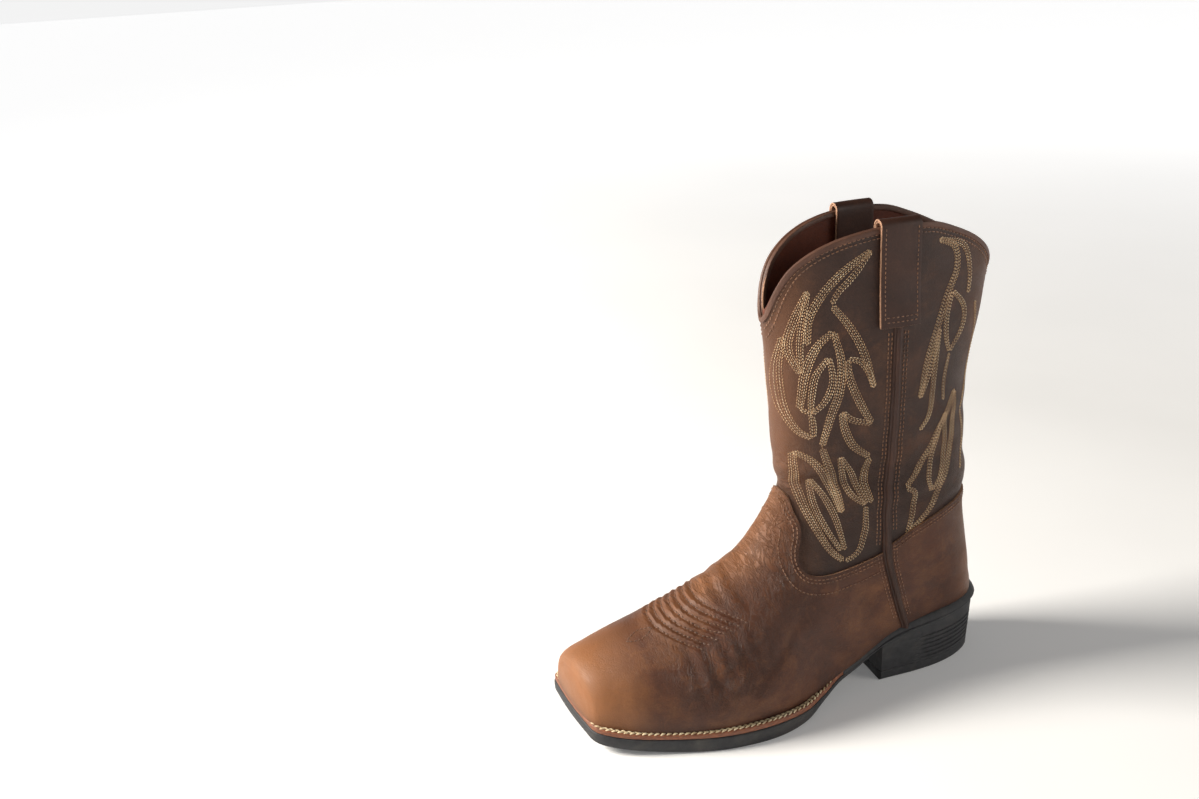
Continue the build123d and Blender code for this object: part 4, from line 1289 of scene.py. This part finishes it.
def strap_grid(side, gap):
    """Points of a strap folded over the topline, gap mm off the leather."""
    ys = np.linspace(*STRAP_Y, 15)

    def leather_x(y, z):
        return on_side(tree_shaft, y, min(z, TOP_HIT_Z), side)[0][0]

    rows = []
    for z in np.linspace(STRAP_LOW_Z, TOP_Z, 34):
        row = []
        for y in ys:
            edge = abs(y - STRAP_MID_Y) / STRAP_HALF_W
            lean = 0.8 * (z - 300) / 60
            row.append([leather_x(y, z) + side * (gap + STRAP_CROWN * (1 - edge**2)), y + lean, z])
        rows.append(row)
    base = np.array(rows[-1])
    r = WALL / 2 + gap
    for a in np.linspace(0, math.pi, 15)[1:]:
        row = base.copy()
        row[:, 0] = base[:, 0] - side * r * (1 - math.cos(a))
        row[:, 2] = TOP_Z + r * 0.95 * math.sin(a)
        rows.append(row)
    last = rows[-1]
    for z in np.linspace(TOP_Z, STRAP_IN_Z, 22)[1:]:
        row = last.copy()
        row[:, 0] = [leather_x(y, z) - side * (WALL + gap) for y in ys]
        row[:, 2] = z
        rows.append(row)
    grid = np.array(rows)
    return grid[:, ::-1] if side > 0 else grid


def tree_of(ob):
    """The object's faces, for dropping stitches on them."""
    pts = np.array([v.co[:] for v in ob.data.vertices]) / MM - SHIFT
    return BVHTree.FromPolygons(pts.tolist(), [tuple(p.vertices) for p in ob.data.polygons])


SIDES = ((1, "lateral"), (-1, "medial"))
strap_rows = Stitches(2.0, 0.7, 0.6)
for side, tag in SIDES:
    node = "pull_strap_" + tag
    face = grid_object(node + "_face", strap_grid(side, STRAP_FACE), STRAP_THICK, STRAP, [node],
                       EDGE_BEVEL)
    backing = strap_grid(side, STRAP_BACK)
    backing[:, :, 1] = STRAP_MID_Y + (backing[:, :, 1] - STRAP_MID_Y) * BACK_WIDTH
    grid_object(node + "_backing", backing, BACK_THICK, EDGE, (), 0.25)
    tree_strap = tree_of(face)
    low_y, high_y = STRAP_Y[0] + STRAP_MARGIN, STRAP_Y[1] - STRAP_MARGIN
    for line in ([(low_y - 0.5, 262), (low_y + 0.3, 319)],
                 [(high_y - 0.5, 262), (high_y + 0.3, 319)],
                 [(low_y, 261), (high_y, 261)], [(low_y, 264), (high_y, 264)]):
        sew(strap_rows, tree_strap, line, side, 0.1, 2.8)
strap_rows.build("strap_stitching", BROWN)

PIPING_ENDS_Z = (40.5, 262)
PIPING_THICK = 0.5
PIPING_CLIMB = (100, 26)      # where it passes from the foot to the shaft
PIPING_SECTION = [(-2.7, 0.0), (-2.4, 0.6), (-1.7, 0.7), (-1.3, 0.8), (-1.0, 1.6), (-0.55, 2.1),
                  (0, 2.25), (0.55, 2.1), (1.0, 1.6), (1.3, 0.8), (1.7, 0.7), (2.4, 0.6),
                  (2.7, 0.0)]        # (across, out)


def piping(side, tag):
    """A folded strip with a raised bead, lying over one side seam."""
    rows = []
    for z in np.linspace(*PIPING_ENDS_Z, 150):
        w = rise(z, *PIPING_CLIMB)
        row = []
        for across, out in PIPING_SECTION:
            y = float(seam_on(side)(z)) + across
            a, b = on_side(tree_foot, y, z, side), on_side(tree_shaft, y, z, side)
            p = a[0] * (1 - w) + b[0] * w
            n = a[1] * (1 - w) + b[1] * w
            row.append(p + n * out)
        rows.append(row)
    g = np.array(rows)
    g = g[:, ::-1] if side > 0 else g
    grid_object("side_piping_" + tag, g, PIPING_THICK, PIPING, ["side_piping_" + tag])


for side, tag in SIDES:
    piping(side, tag)

# ---------------------------------------------------------------- topline edge and footbed
RIM_N = 400
RIM_STATIONS = (18, 21.9)       # the topline lies between these
RIM_THICK = 0.4
RIM_SECTION = [(0.05, -2.4), (0.4, -2.2), (0.5, -0.6), (0.2, 0.2), (-0.8, 0.45), (-1.3, 0.2),
               (-1.6, -0.5), (-1.9, 0.2), (-2.4, 0.45), (-3.5, 0.2), (-3.9, -0.5), (-3.9, -2.0),
               (-3.4, -2.3)]    # (outwards, upwards) from the outside corner


def topline_edge():
    """A strip over the cut edges of leather and lining, along the whole topline."""
    g = form_grid(np.linspace(*RIM_STATIONS, 300), np.arange(RIM_N) * 4 / RIM_N)
    height = g[:, :, 2] - topline_z(g[:, :, 1])
    first = np.argmax(height > 0, axis=0)
    cols = np.arange(RIM_N)
    share = (-height[first - 1, cols] / (height[first, cols] - height[first - 1, cols]))[:, None]
    edge = g[first - 1, cols] * (1 - share) + g[first, cols] * share
    out = grid_normals(g)[first, cols]
    up = np.cross(out, np.roll(edge, -1, 0) - np.roll(edge, 1, 0))
    up /= np.linalg.norm(up, axis=1, keepdims=True)
    up *= np.sign(up[:, 2:3])
    edge = edge + out * bumps(edge)[:, None]
    rings = np.swapaxes(np.array([edge + out * a + up * b for a, b in RIM_SECTION]), 0, 1)
    grid_object("topline_edge", np.concatenate([rings, rings[:1]]), RIM_THICK, RIM)


topline_edge()

PAD_ENDS_Y = (-133, 145)
PAD_RISE = 2.8          # over the feather line
PAD_HALF = 2.3          # half its thickness
PAD_CLEAR = 5.2         # from the outside of the leather
PAD_N = 40


def footbed_pad():
    """A thin crowned pad that fills the floor of the boot."""
    rings = []
    a = np.linspace(0, 2 * math.pi, PAD_N, endpoint=False)
    c, w = np.cos(a), np.sin(a)
    for y in np.linspace(*PAD_ENDS_Y, 100):
        z = float(feather_z(y)) + PAD_RISE
        left = on_side(tree_foot, y, z + 3, -1)[0][0] + PAD_CLEAR
        right = on_side(tree_foot, y, z + 3, 1)[0][0] - PAD_CLEAR
        # it thins out over its last 8 mm
        end = min(1.0, math.sqrt((min(y - PAD_ENDS_Y[0], PAD_ENDS_Y[1] - y) + 0.5) / 8))
        x = (left + right) / 2 + (right - left) / 2 * np.sign(c) * np.abs(c)**0.25
        crown = PAD_HALF * np.sign(w) * np.abs(w)**0.4 * end + 0.5 * (w > 0) * (1 - np.abs(c)**2)
        rings.append(np.stack([x, np.full(PAD_N, y), z + PAD_HALF + crown], 1))
    rings = np.array(rings)
    ob = make_mesh("footbed_pad", rings.reshape(-1, 3), tube_faces(*rings.shape[:2]), 60)
    finish_piece(ob, FOAM, ["footbed"])


footbed_pad()

# ---------------------------------------------------------------- pieces that keep their CAD shape
BOARD = fibrous("fibre_board", rgb(120, 96, 66), rgb(160, 132, 94), (500, 5, 0.7), 0.85,
                (0.35, 0.65), 0.0003)
CORK = fibrous("cork", rgb(96, 66, 38), rgb(166, 124, 80), (260, 5, 0.7), 0.85,
               (0.35, 0.65), 0.0003)
for node, mat in (("insole_board", BOARD), ("toe_puff", BOARD), ("heel_stiffener", BOARD),
                  ("cork_filler", CORK), ("shank", steel())):
    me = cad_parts[node].data
    me.materials.clear()
    me.materials.append(mat)

# ---------------------------------------------------------------- floor, light, camera
FLOOR_HALF = 12         # m


def floor():
    """A wide light floor that shines more the farther it is from the boot."""
    n = 40
    xs = np.linspace(-FLOOR_HALF, FLOOR_HALF, n)
    me = bpy.data.meshes.new("floor")
    me.from_pydata([(x, y, 0.0) for y in xs for x in xs], [],
                   strip_quads(n, n, closed=False).tolist())
    ob = add_object("floor", me)
    m = Nodes("floor_paint")
    away = m.new("VectorMath")
    away.operation = "LENGTH"
    m.link(m.obj, away.inputs[0])
    glow = m.ramp(m.times(away.outputs["Value"], 0.2), [(0.12, 0.1), (0.5, 0.85)])
    me.materials.append(m.done(m.ramp(m.noise(3, 3), [(0.3, rgb(236, 236, 236)),
                                                     (0.7, rgb(242, 242, 242))]), 0.9,
                               Emission_Color=(1, 1, 1, 1), Emission_Strength=glow))


floor()


def area_light(name, place, target, size, power, colour):
    """A rectangular lamp at a place, looking at its target; sizes in m."""
    data = bpy.data.lights.new(name, "AREA")
    data.shape = "RECTANGLE"
    data.size, data.size_y = size
    data.energy = power
    data.color = colour
    ob = add_object(name, data)
    ob.location = place
    ob.rotation_euler = (Vector(target) - Vector(place)).to_track_quat("-Z", "Y").to_euler()


area_light("key", (-0.55, -1.6, 1.1), (0, 0, 0.12), (0.7, 0.7), 80, (1.0, 0.95, 0.87))
area_light("fill", (1.8, -0.5, 1.0), (0, 0, 0.12), (1.2, 1.2), 1.5, (1.0, 0.97, 0.93))
area_light("rim", (1.1, 1.4, 0.8), (0, 0.05, 0.15), (0.8, 0.8), 9, (1.0, 0.96, 0.9))


def studio_world():
    """A dim room with a bright band at the horizon, where the floor ends."""
    world = bpy.data.worlds.new("studio")
    bpy.context.scene.world = world
    world.use_nodes = True
    t = world.node_tree
    coord = t.nodes.new("ShaderNodeTexCoord")
    split = t.nodes.new("ShaderNodeSeparateXYZ")
    band = t.nodes.new("ShaderNodeValToRGB")
    t.links.new(coord.outputs["Generated"], split.inputs[0])
    t.links.new(split.outputs["Z"], band.inputs[0])
    t.links.new(band.outputs["Color"], t.nodes["Background"].inputs["Color"])
    for stop, place, grey in zip(band.color_ramp.elements, (0.1, 0.22), (0.9, 0.12)):
        stop.position = place
        stop.color = (grey, grey, grey, 1)


studio_world()

# the photograph's camera, fitted to the boot
AZ, EL, ROLL = math.radians(72.5), math.radians(21.2), math.radians(-3.2)
EYE = (642.4, -313.7, 490.4)      # in the last's frame, mm
SENSOR = 36.0
LENS = 36.03
back_dir = Vector((math.sin(AZ) * math.cos(EL), -math.cos(AZ) * math.cos(EL), math.sin(EL)))
right = (-back_dir).cross(Vector((0, 0, 1))).normalized()
up = right.cross(-back_dir)
right, up = (right * math.cos(ROLL) + up * math.sin(ROLL),
             -right * math.sin(ROLL) + up * math.cos(ROLL))
cam_data = bpy.data.cameras.new("camera")
cam_data.sensor_width = SENSOR
cam_data.lens = LENS
cam = add_object("camera", cam_data)
turned = Matrix((right, up, back_dir)).transposed().to_4x4()
cam.matrix_world = Matrix.Translation((Vector(EYE) + Vector(SHIFT.tolist())) * MM) @ turned
bpy.context.scene.camera = cam
bpy.context.scene.view_settings.view_transform = "Standard"
